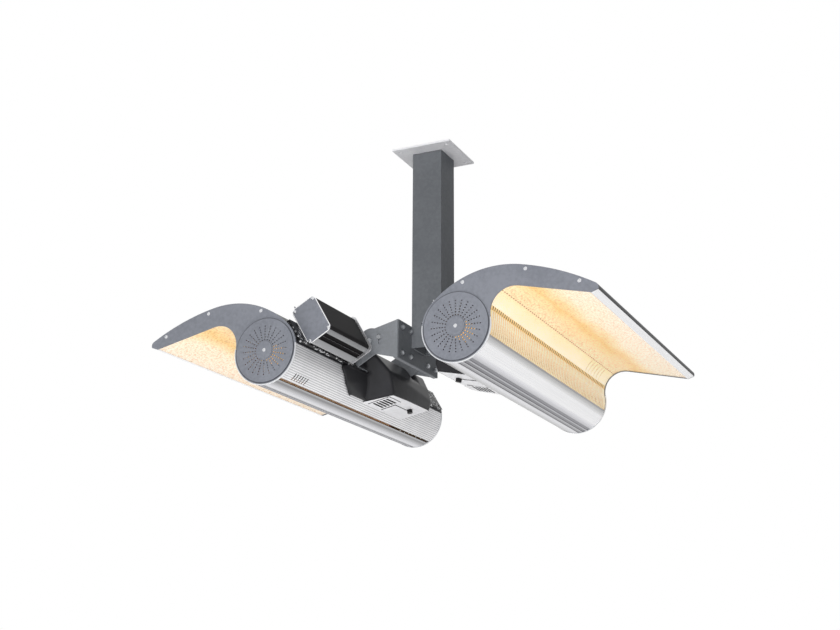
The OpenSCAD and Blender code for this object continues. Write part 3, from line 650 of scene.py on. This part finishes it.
@dataclass(frozen=True)
class LitReflector(LitFinish):
    """Bright aluminium reflector, with the burner's light painted on it in cream to orange."""

    # Painted glow, which lets the reflector give off light of its own
    glow: float = 0.2
    # Painted burner light by the distance outwards from the drum axis: a warm streak beyond the
    # seam
    painted_burner_light_mm: Stops = ()
    cloud_mm: float = 60.0
    cloud_reach_mm: float = 45.0
    speckle_mm: float = 5.0
    speckle_share: float = 0.7
    speckle_shades: Stops = ((0.34, "#cfae7c"), (0.5, "#f8eeda"), (0.62, "#fffdf8"))
    # The fold along the seam ends at this height and has small holes
    fold_top_mm: float = 140.5
    fold_fade_mm: float = 0.5
    hole_step_mm: float = 16.0
    hole: str = "#a98250"
    spread: tuple[float, float] = (0.1, 0.12)
    depth_mm: float = 0.2

    def pattern(self, tree: Tree, shader: Node, space: Socket) -> None:
        """Draws the painted burner light's warm streak and cream, hammered speckle and the fold's
        holes.
        """
        across = self.clouded(tree, space, 0, self.cloud_mm, self.cloud_reach_mm)
        streak = shades(tree, across, self.painted_burner_light_mm)
        speckle = self.grain(tree, space, self.speckle_mm, stretch=(1, 1.4, 1), detail=6.0)
        spots = shades(tree, speckle, self.speckle_shades)
        shade = blended(tree, self.speckle_share, streak, spots, "MULTIPLY")
        fold = shades(tree, in_mm(tree, space, 2), [
            (self.fold_top_mm, "#ffffff"), (self.fold_top_mm + self.fold_fade_mm, "#000000")])
        holes = add_node(tree, "TexWave", {"bands_direction": "Y"}, Vector=space,
                         Scale=wave_scale(self.hole_step_mm))
        dark = add_node(tree, "Math", "MULTIPLY", in0=fold, in1=holes.outputs[1])
        self.light(tree, shader, blended(tree, dark.outputs[0], shade, self.hole))
        self.vary(tree, shader, speckle)
        self.relief(tree, shader, speckle)


@dataclass(frozen=True)
class HotScreen(LitFinish):
    """Heat-resistant steel screen, with the burner's light painted on it in cream and gold."""

    # Painted glow, which lets the screen give off light of its own
    glow: float = 0.3
    # Painted burner light by height, cream to gold
    painted_screen_light_mm: Stops = ()
    cloud_mm: float = 45.0
    cloud_reach_mm: float = 14.0
    grit_mm: float = 4.0
    grit_share: float = 0.4
    grit_shades: Stops = ((0.35, "#e8d2a6"), (0.55, "#ffffff"))
    # Every second slot is drawn as a gold line, so that the slots show
    rib_mm: float = 14.0
    rib_share: float = 0.85
    rib_shades: Stops = ((0.45, "#ffffff"), (0.9, "#dfc98e"))
    # Height of the lower row of dashes, and shades by the height over it
    dash_mm: float = 85.0
    dash_share: float = 0.75
    dash_shades_mm: Stops = ((-6, "#ffffff"), (-4, "#dfc382"), (6, "#dfc382"), (8, "#ffffff"))
    # Middle of the sheet's thickness round the drum, and round the pocket's own centre, and the
    # height where the second takes over
    drum_mid_mm: float = 96.7
    pocket_mid_mm: float = 69.3
    pocket_mm: tuple[float, float] = (129.0, 104.5)
    joint_mm: float = 63.0
    inner: str = "#7a4a30"
    depth_mm: float = 0.1

    def pattern(self, tree: Tree, shader: Node, space: Socket) -> None:
        """Draws painted burner light by height, slots, dashes and a dark inside."""
        up = in_mm(tree, space, 2)
        moved = self.clouded(tree, space, 2, self.cloud_mm, self.cloud_reach_mm)
        shade = shades(tree, moved, self.painted_screen_light_mm)
        grit = self.grain(tree, space, self.grit_mm, detail=5.0)
        spots = shades(tree, grit, self.grit_shades)
        shade = blended(tree, self.grit_share, shade, spots, "MULTIPLY")
        ribs = add_node(tree, "TexWave", {"bands_direction": "Y"}, Vector=space,
                        Scale=wave_scale(self.rib_mm))
        lines = shades(tree, ribs.outputs[1], self.rib_shades)
        slotted = add_node(tree, "Math", "LESS_THAN", in0=up, in1=self.dash_mm)
        share = add_node(tree, "Math", "MULTIPLY", in0=slotted.outputs[0], in1=self.rib_share)
        shade = blended(tree, share.outputs[0], shade, lines, "MULTIPLY")
        row = shades(tree, up, [(self.dash_mm + off, tone) for off, tone in self.dash_shades_mm])
        shade = blended(tree, self.dash_share, shade, row, "MULTIPLY")
        self.light(tree, shader, blended(tree, self.inside(tree, space), shade, self.inner))
        self.relief(tree, shader, grit)

    def inside(self, tree: Tree, space: Socket) -> Socket:
        """One on the side that faces the burner, and nought on the side that faces the room."""
        reach = round_drum(tree, space)[1]
        drum = add_node(tree, "Math", "LESS_THAN", in0=reach, in1=self.drum_mid_mm)
        flat = add_node(tree, "CombineXYZ", X=in_mm(tree, space, 0), Y=in_mm(tree, space, 2))
        far = add_node(tree, "VectorMath", "DISTANCE", in0=flat.outputs[0],
                       in1=(*self.pocket_mm, 0.0))
        pocket = add_node(tree, "Math", "GREATER_THAN", in0=far.outputs["Value"],
                          in1=self.pocket_mid_mm)
        above = add_node(tree, "Math", "GREATER_THAN",
                         in0=in_mm(tree, space, 2), in1=self.joint_mm)
        side = add_node(tree, "Mix", {"data_type": "FLOAT"}, in0=above.outputs[0],
                        in2=drum.outputs[0], in3=pocket.outputs[0])
        return side.outputs[0]


@dataclass(frozen=True)
class HotMetal(LitFinish):
    """Steel that glows from the flame inside it."""

    patch_mm: float = 25.0
    # Shade of the ends, where the flame is richest; none where the whole piece is alike
    ends: str = ""
    end_mm: float = 330.0
    end_fade_mm: float = 80.0
    depth_mm: float = 0.1

    def pattern(self, tree: Tree, shader: Node, space: Socket) -> None:
        """Draws patches that glow unevenly."""
        patches = self.grain(tree, space, self.patch_mm)
        shade = self.two_tone(tree, patches)
        if self.ends:
            off = add_node(tree, "Math", "ABSOLUTE", in0=in_mm(tree, space, 1))
            near = add_node(tree, "MapRange", Value=off.outputs[0], From_Min=self.end_mm,
                            From_Max=self.end_mm + self.end_fade_mm)
            shade = blended(tree, near.outputs[0], shade, self.ends)
        self.light(tree, shader, shade)
        self.relief(tree, shader, patches)


@dataclass(frozen=True)
class MouldedPlastic(Finish):
    """Injection-moulded ABS or nylon with a fine spark-eroded texture."""

    texture_mm: float = 0.9
    dust_mm: float = 60.0
    spread: tuple[float, float] = (0.04, 0.06)
    depth_mm: float = 0.03

    def pattern(self, tree: Tree, shader: Node, space: Socket) -> None:
        """Draws the mould's texture and a little dust in it."""
        dust = self.grain(tree, space, self.dust_mm)
        tree.links.new(self.two_tone(tree, dust, low=0.35), shader.inputs["Base Color"])
        texture = self.grain(tree, space, self.texture_mm)
        self.vary(tree, shader, texture)
        self.relief(tree, shader, texture)


# Powder coats: satin paint that gives a soft, even sheen
PALE_PLATE = PowderCoat("powder_coat_pale_grey", "#f0f0f3", "#e6e6ea", roughness=0.45)
TUBE_COAT = PowderCoat("powder_coat_tube_grey", "#6f7276", "#676a6e", roughness=0.42,
                       specular=0.04, edge_mm=2.0)
BRACKET_COAT = PowderCoat("powder_coat_bracket_grey", "#82858a", "#787b7f", roughness=0.42,
                          specular=0.45)
SLATE_COAT = PowderCoat("powder_coat_slate", "#7d8088", "#72757d", roughness=0.45, specular=0.35,
                        edge_mm=0.8)
CAP_COAT = PowderCoat("powder_coat_cap_slate", "#7d8088", "#70737b", roughness=0.45,
                      specular=0.35, rim_shadow_mm=94.0)
DARK_COAT = PowderCoat("powder_coat_graphite", "#2f3033", "#27282a", roughness=0.4, specular=0.2,
                       edge_mm=1.0)
BASE_COAT = BottomPlate("powder_coat_light_grey", "#ebebee", "#e0e0e3", roughness=0.45)
MOTOR_COAT = PowderCoat("enamel_motor_grey", "#55585c", "#4b4e52")
RAIL_COAT = PerforatedRail("punched_black_rail", "#1d1d1f", "#c9cacd", roughness=0.4,
                           specular=0.25)

# Bare and anodised metals: bright in gloss, with lines where they were drawn or polished
# Painted reflections on the shell by angle, with painted shade in its grooves and below the screen
SHELL_PAINTED_REFLECTIONS = (
    (-93, "#cfcfd2"), (-87, "#c4c4c6"), (-81, "#858587"), (-76, "#aeaeb0"), (-70, "#d0d0d4"),
    (-63, "#eaeaee"), (-58.8, "#d8d8dc"), (-58.3, "#8c8c90"), (-52.7, "#98989c"),
    (-52.3, "#bcbcc0"), (-49.7, "#bcbcc0"), (-49.4, "#77777c"), (-43.6, "#808085"),
    (-43.3, "#b8b8bd"), (-40.7, "#b8b8bd"), (-40.4, "#85858a"), (-34.6, "#8e8e93"),
    (-34.0, "#c4c4c8"), (-27, "#e4e4e8"), (-22, "#fbfbfc"), (-3, "#fbfbfc"), (0, "#e8e8e8"),
    (4, "#cdcdcd"), (7, "#c0c0c0"), (9.5, "#9a9a9a"), (11, "#9a9a9a"), (12, "#efefef"))
POLISHED = PolishedShell("polished_aluminium_shell", "#ffffff", "#e6e6ea", metallic=0.9,
                         roughness=0.22, bands=SHELL_PAINTED_REFLECTIONS)
BRIGHT_TRIM = DrawnMetal("bright_anodised_aluminium", "#fafafb", "#f0f0f2", metallic=0.8,
                         roughness=0.2, spread=(0.05, 0.05))
# Painted shadow on the ring's lip and painted highlight on its bead
RING_METAL = RolledRing("rolled_bright_ring", "#e6e7ea", "#4d5056", metallic=0.3, roughness=0.45,
                        by_radius_mm=((96.0, "#4d5056"), (98.0, "#7b7e84"), (99.6, "#b9bbc0"),
                                      (101.2, "#e6e7ea")))
BRIGHT_SHEET = DrawnMetal("bright_rolled_steel", "#dadadc", "#c8c8cb", metallic=0.8,
                          roughness=0.28)
# Painted reflections and shade across the control box's underside
BOX_UNDERSIDE_REFLECTIONS = (
    (-189, "#2a2829"), (-184, "#2a2829"), (-183, "#8f9092"), (-166, "#a0a1a3"),
    (-165, "#1e1d1e"), (-152, "#1e1d1e"), (-151.5, "#8a8a8d"), (-150.5, "#8a8a8d"),
    (-150, "#1e1d1e"), (-137, "#1e1d1e"), (-136, "#9a9b9d"), (-110, "#b0b1b3"),
    (-109, "#2a2829"), (-104, "#2a2829"))
BOX_SKIN = BoxExtrusion("black_anodised_extrusion", "#323132", "#262526", roughness=0.4,
                        specular=0.01, edge_mm=1.5, reflection_strips_mm=BOX_UNDERSIDE_REFLECTIONS)
WHEEL_METAL = DrawnMetal("pressed_aluminium", "#9da0a3", "#85888b", metallic=1.0, roughness=0.4)
MESH_SHEET = PerforatedSheet("perforated_aluminium", "#fbfbfc", "#f1f1f3", metallic=0.4,
                             roughness=0.38)
ZINC = PlatedSteel("zinc_plated_steel", "#d5d7da", "#b5b8bc", metallic=0.9, roughness=0.3,
                   edge_mm=0.4)
SCREW_STEEL = PlatedSteel("stainless_screw_steel", "#e9eaed", "#cfd1d4", metallic=0.9,
                          roughness=0.2, edge_mm=0.4)
VALVE_BRASS = PlatedSteel("forged_brass", "#b98d4e", "#97703a", metallic=1.0, roughness=0.32)
CERAMIC = PlatedSteel("glazed_ceramic", "#efeae0", "#e2dccf", roughness=0.2)

# Sheets and tube that the flame heats or lights
SHIELD_METAL = HotMetal("tempered_steel_shield", "#33221a", "#150e0a", roughness=0.6,
                        specular=0.2, glow=0.02)
BURNER_METAL = HotMetal("glowing_burner_steel", "#97532f", "#6f3d25", roughness=0.6, glow=1.1,
                        ends="#ffc454")
REFLECTOR = LitReflector(
    "lit_reflector_aluminium", "#faefdc", "#faeee2", metallic=0.1, roughness=0.4,
    painted_burner_light_mm=((69, "#fae8c4"), (124, "#f7dcac"), (147, "#f0cd8c"), (181, "#f9e3bb"),
               (224, "#faefdc"), (299, "#faeee2")))
SCREEN = HotScreen(
    "lit_screen_steel", "#fffaec", "#f9edd2", metallic=0.1, roughness=0.45,
    painted_screen_light_mm=((14, "#d8b98c"), (24, "#f9edd2"), (60, "#fffaec"), (96, "#fdf4dc"),
             (138, "#f1dfb2")))

# Moulded plastics: dark and satin, with broad soft highlights over wide rounding
COWL_PLASTIC = MouldedPlastic("moulded_black_abs", "#2c2c2f", "#242426", roughness=0.34,
                              specular=0.22, edge_mm=9.0)
KNOB_PLASTIC = MouldedPlastic("moulded_black_nylon", "#161618", "#101011", roughness=0.3,
                              specular=0.3)

CENTRE_FINISHES: dict[str, Finish] = {
    "ceiling_plate": PALE_PLATE,
    "drop_tube": TUBE_COAT,
    "left_arm_bracket": BRACKET_COAT,
    "right_arm_bracket": BRACKET_COAT,
    "bracket_bolts": ZINC,
}
HEAD_FINISHES: dict[str, Finish] = {
    "box_end_plate": SLATE_COAT,
    "hood_end_plate": SLATE_COAT,
    "box_end_cap": CAP_COAT,
    "hood_end_cap": CAP_COAT,
    "end_rings": RING_METAL,
    "head_screws": SCREW_STEEL,
    "lower_shell": POLISHED,
    "back_mesh": MESH_SHEET,
    "radiant_screen": SCREEN,
    "reflector": REFLECTOR,
    "top_cover": DARK_COAT,
    "tip_trim": BRIGHT_TRIM,
    "burner_tube": BURNER_METAL,
    "inner_shield": SHIELD_METAL,
    "igniter": CERAMIC,
    "back_rail": RAIL_COAT,
    "tilt_bracket": BRACKET_COAT,
    "tilt_bolts": ZINC,
    "control_box": BOX_SKIN,
    "box_cover": SLATE_COAT,
    "box_flange": BRIGHT_SHEET,
    "hood": COWL_PLASTIC,
    "hood_base": BASE_COAT,
    "latch_knob": KNOB_PLASTIC,
    "fan_wheel": WHEEL_METAL,
    "fan_motor": MOTOR_COAT,
    "gas_valve": VALVE_BRASS,
}


def dress(piece: Piece, material: bpy.types.Material) -> None:
    """Puts one material on all of a piece."""
    piece.data.materials.clear()
    piece.data.materials.append(material)


def shaped(piece: Piece, *steps: tuple[str, dict]) -> bpy.types.Mesh:
    """Runs modifiers over a linked piece and takes them off again.

    Args:
        piece: The piece, which keeps its own mesh.
        steps: Blender's name of each modifier with its settings, in order.

    Returns:
        The new mesh.
    """
    for kind, settings in steps:
        step = piece.modifiers.new(kind.lower(), kind)
        for key, value in settings.items():
            setattr(step, key, value)
    graph = bpy.context.evaluated_depsgraph_get()
    made = bpy.data.meshes.new_from_object(piece.evaluated_get(graph))
    piece.modifiers.clear()
    return made


@dataclass
class Hanger:
    """Ceiling plate, drop tube, arm brackets and their bolts."""

    nodes: dict[str, Piece]
    finishes: dict[str, Finish] = field(default_factory=lambda: dict(CENTRE_FINISHES))

    def build(self) -> None:
        """Gives every centre node its finish."""
        for name, finish in self.finishes.items():
            dress(self.nodes[name], finish.material())
            LOG.info("dressed %s in %s", name, finish.name)


@dataclass(frozen=True)
class CoverBead:
    """Bright rolled edge round the control box's cover."""

    across_mm: tuple[float, float] = (-188.7, -104.7)
    up_mm: tuple[float, float] = (-40.0, 84.0)
    along_mm: float = 443.4
    corner_mm: float = 15.0
    corner_steps: int = 10
    bead_mm: float = 1.5
    # Share of its own radius by which the bead's middle lies inside the cover's edge
    inset_share: float = 0.4
    round_steps: int = 3

    def path(self) -> list[Vector]:
        """Points along the bead's middle, once round."""
        inset = self.bead_mm * self.inset_share
        left, right = self.across_mm[0] + inset, self.across_mm[1] - inset
        low, high = self.up_mm[0] + inset, self.up_mm[1] - inset
        radius = self.corner_mm - inset
        centres = [(right - radius, high - radius, 0), (left + radius, high - radius, 90),
                   (left + radius, low + radius, 180), (right - radius, low + radius, 270)]
        points = []
        for x, z, start in centres:
            for step in range(self.corner_steps + 1):
                turn = math.radians(start + 90 * step / self.corner_steps)
                points.append(Vector((x + radius * math.cos(turn), self.along_mm,
                                      z + radius * math.sin(turn))))
        return points

    def build(self, side: Side) -> Piece:
        """Makes the bead of one head, as a round curve."""
        curve = bpy.data.curves.new("cover_bead", "CURVE")
        curve.dimensions = "3D"
        curve.bevel_depth = self.bead_mm * MM
        curve.bevel_resolution = self.round_steps
        spline = curve.splines.new("POLY")
        points = self.path()
        spline.points.add(len(points) - 1)
        frame = HEAD.matrix(side)
        for point, place in zip(spline.points, points):
            point.co = (*(frame @ (place * MM)), 1.0)
        spline.use_cyclic_u = True
        bead = bpy.data.objects.new(f"{side.value}_cover_bead", curve)
        bpy.context.scene.collection.objects.link(bead)
        return bead


@dataclass(frozen=True)
class Cowl:
    """Moulded skin of the blower hood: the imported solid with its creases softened."""

    voxel_mm: float = 1.5
    ease_passes: int = 24
    ease_factor: float = 0.5
    # The rims at the drum and at the bottom plate hardly move, and the skin frees itself beyond
    drum_mm: float = 100.0
    rim_fade_mm: float = 14.0
    rim_ease: float = 0.12
    kept_faces: float = 0.3
    free: str = "free"

    def free_middle(self, cowl: Piece, side: Side) -> None:
        """Weighs each point by how far it lies from the rims."""
        group = cowl.vertex_groups.new(name=self.free)
        to_head = HEAD.matrix(side).inverted()
        foot, out = Vector(HEAD.foot_mm), HEAD.out_of_plate()
        for vertex in cowl.data.vertices:
            place = to_head @ vertex.co / MM
            flat = Vector((place.x, place.z))
            from_base = abs((flat - foot).dot(out))
            from_drum = flat.length - self.drum_mm
            share = min(from_base, from_drum) / self.rim_fade_mm
            group.add([vertex.index], min(1.0, max(self.rim_ease, share)), "REPLACE")

    def build(self, side: Side, solid: Piece) -> Piece:
        """Makes the cowl of one head.

        Args:
            side: The head.
            solid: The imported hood.

        Returns:
            The smooth piece, without a finish.
        """
        cowl = bpy.data.objects.new(f"{side.value}_cowl", solid.data.copy())
        bpy.context.scene.collection.objects.link(cowl)
        cowl.data = shaped(cowl, ("REMESH", {"mode": "VOXEL", "voxel_size": self.voxel_mm * MM}))
        self.free_middle(cowl, side)
        cowl.data = shaped(
            cowl,
            ("SMOOTH", {"factor": self.ease_factor, "iterations": self.ease_passes,
                        "vertex_group": self.free}),
            ("DECIMATE", {"ratio": self.kept_faces}))
        cowl.vertex_groups.clear()
        cowl.data.shade_smooth()
        return cowl


@dataclass
class Head:
    """One tilting head: drum, wing, burner, control box and blower hood."""

    side: Side
    nodes: dict[str, Piece]
    finishes: dict[str, Finish] = field(default_factory=lambda: dict(HEAD_FINISHES))
    bead: CoverBead = CoverBead()
    cowl: Cowl = Cowl()

    def node(self, name: str) -> Piece:
        """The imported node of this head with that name."""
        return self.nodes[f"{self.side.value}_{name}"]

    def build(self) -> None:
        """Dresses the nodes and adds the fine pieces."""
        for name, finish in self.finishes.items():
            dress(self.node(name), finish.material(self.side))
            LOG.info("dressed %s %s in %s", self.side.value, name, finish.name)
        self.place(self.bead.build(self.side), BRIGHT_TRIM, "bright_trim")
        cowl = self.cowl.build(self.side, self.node("hood"))
        self.place(cowl, self.finishes["hood"], "black_cowl")
        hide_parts(f"{self.side.value}_hood")

    def place(self, piece: Piece, finish: Finish, slot: str) -> None:
        """Dresses a new piece and lets it ride on this head."""
        dress(piece, finish.material(self.side))
        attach(piece, f"{self.side.value}_head")
        LOG.info("added %s in %s", piece.name, finish.name)


@dataclass(frozen=True)
class SoftBox:
    """A large area lamp aimed at the heater."""

    name: str
    place: tuple[float, float, float]
    size: float
    power: float
    # A lamp that gloss doesn't show leaves no burnt patch on bare metal
    in_gloss: bool = False
    target: tuple[float, float, float] = (0.0, 0.0, -0.6)

    def build(self) -> None:
        """Adds the lamp."""
        lamp = bpy.data.lights.new(self.name, "AREA")
        lamp.shape = "SQUARE"
        lamp.size = self.size
        lamp.energy = self.power
        holder = bpy.data.objects.new(self.name, lamp)
        holder.visible_glossy = self.in_gloss
        bpy.context.scene.collection.objects.link(holder)
        holder.location = self.place
        aim = Vector(self.target) - Vector(self.place)
        holder.rotation_euler = aim.to_track_quat("-Z", "Y").to_euler()


@dataclass
class Studio:
    """Floor, surroundings, lamps and the camera at the photograph's viewpoint."""

    floor_z: float = -2.5
    floor_half: float = 60.0
    floor_shade: str = "#eeeeee"
    floor_roughness: float = 0.9
    # Share of plain white in what the eye and gloss see of the floor, which keeps its shadow
    floor_white: float = 0.85
    ambient: float = 0.32
    lamps: tuple[SoftBox, ...] = (
        SoftBox("key_lamp", (0.9, -4.2, -0.6), 2.4, 98.0),
        SoftBox("fill_lamp", (-3.0, -1.6, 0.2), 2.6, 8.0, in_gloss=True),
        SoftBox("under_lamp", (0.2, -0.9, -2.4), 2.2, 36.0),
        SoftBox("back_lamp", (-1.6, 4.2, 2.4), 3.0, 90.0),
    )
    eye: tuple[float, float, float] = (1.6378, -3.5576, -1.7304)
    yaw: float = 0.442
    pitch: float = 0.295
    roll: float = 0.005
    lens_mm: float = 56.06
    far_clip: float = 200.0

    def build(self) -> None:
        """Builds all of the studio."""
        self.add_world()
        self.add_floor()
        for lamp in self.lamps:
            lamp.build()
        self.add_camera()
        LOG.info("set %d lamps, floor and camera", len(self.lamps))

    def add_world(self) -> None:
        """Makes the surroundings white to the eye and in gloss, and plainer as light."""
        world = bpy.data.worlds.new("surroundings")
        bpy.context.scene.world = world
        world.use_nodes = True
        tree = world.node_tree
        tree.nodes.clear()
        white = add_node(tree, "Background", Color=(1, 1, 1, 1), Strength=1.0)
        plain = add_node(tree, "Background", Color=(1, 1, 1, 1), Strength=self.ambient)
        mix = add_node(tree, "MixShader", in0=self.seen_rays(tree), in1=plain.outputs[0],
                       in2=white.outputs[0])
        add_node(tree, "OutputWorld", Surface=mix.outputs[0])

    @staticmethod
    def seen_rays(tree: Tree) -> Socket:
        """One for what is seen directly, in gloss or through glass, and nought for light."""
        path = add_node(tree, "LightPath")
        gloss = add_node(tree, "Math", "MAXIMUM",
                         in0=path.outputs["Is Glossy Ray"],
                         in1=path.outputs["Is Transmission Ray"])
        seen = add_node(tree, "Math", "MAXIMUM", in0=path.outputs["Is Camera Ray"],
                        in1=gloss.outputs[0])
        return seen.outputs[0]

    def add_floor(self) -> None:
        """Lays the pale floor far below the heater."""
        mesh = bpy.data.meshes.new("floor")
        half = self.floor_half
        corners = [(-half, -half, 0), (half, -half, 0), (half, half, 0), (-half, half, 0)]
        mesh.from_pydata(corners, [], [(0, 1, 2, 3)])
        floor = bpy.data.objects.new("floor", mesh)
        floor.location = (0, 0, self.floor_z)
        bpy.context.scene.collection.objects.link(floor)
        material = bpy.data.materials.new("pale_floor_paint")
        material.use_nodes = True
        tree = material.node_tree
        shader = tree.nodes["Principled BSDF"]
        shader.inputs["Base Color"].default_value = linear(self.floor_shade)
        shader.inputs["Roughness"].default_value = self.floor_roughness
        pale = add_node(tree, "Emission", Color=(1, 1, 1, 1), Strength=1.0)
        share = add_node(tree, "Math", "MULTIPLY", in0=self.seen_rays(tree), in1=self.floor_white)
        mix = add_node(tree, "MixShader", in0=share.outputs[0], in1=shader.outputs[0],
                       in2=pale.outputs[0])
        tree.links.new(mix.outputs[0], tree.nodes["Material Output"].inputs["Surface"])
        mesh.materials.append(material)

    def add_camera(self) -> None:
        """Sets the camera where the photograph was taken from."""
        ahead = Vector((-math.sin(self.yaw) * math.cos(self.pitch),
                        math.cos(self.yaw) * math.cos(self.pitch), math.sin(self.pitch)))
        right = ahead.cross(Vector((0, 0, 1))).normalized()
        up = right.cross(ahead)
        rolled_right = math.cos(self.roll) * right + math.sin(self.roll) * up
        rolled_up = -math.sin(self.roll) * right + math.cos(self.roll) * up
        turn = Matrix((rolled_right, rolled_up, -ahead)).transposed().to_4x4()
        turn.translation = Vector(self.eye)
        lens = bpy.data.cameras.new("camera")
        lens.lens = self.lens_mm
        lens.clip_end = self.far_clip
        camera = bpy.data.objects.new("camera", lens)
        bpy.context.scene.collection.objects.link(camera)
        camera.matrix_world = turn
        bpy.context.scene.camera = camera


def main() -> None:
    """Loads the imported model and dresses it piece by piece."""
    logging.basicConfig(level=logging.INFO, format="%(message)s")
    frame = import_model()
    bpy.context.scene.view_settings.view_transform = "Standard"
    Hanger(frame["nodes"]).build()
    for side in Side:
        Head(side, frame["nodes"]).build()
    Studio().build()


if __name__ == "__main__":
    main()
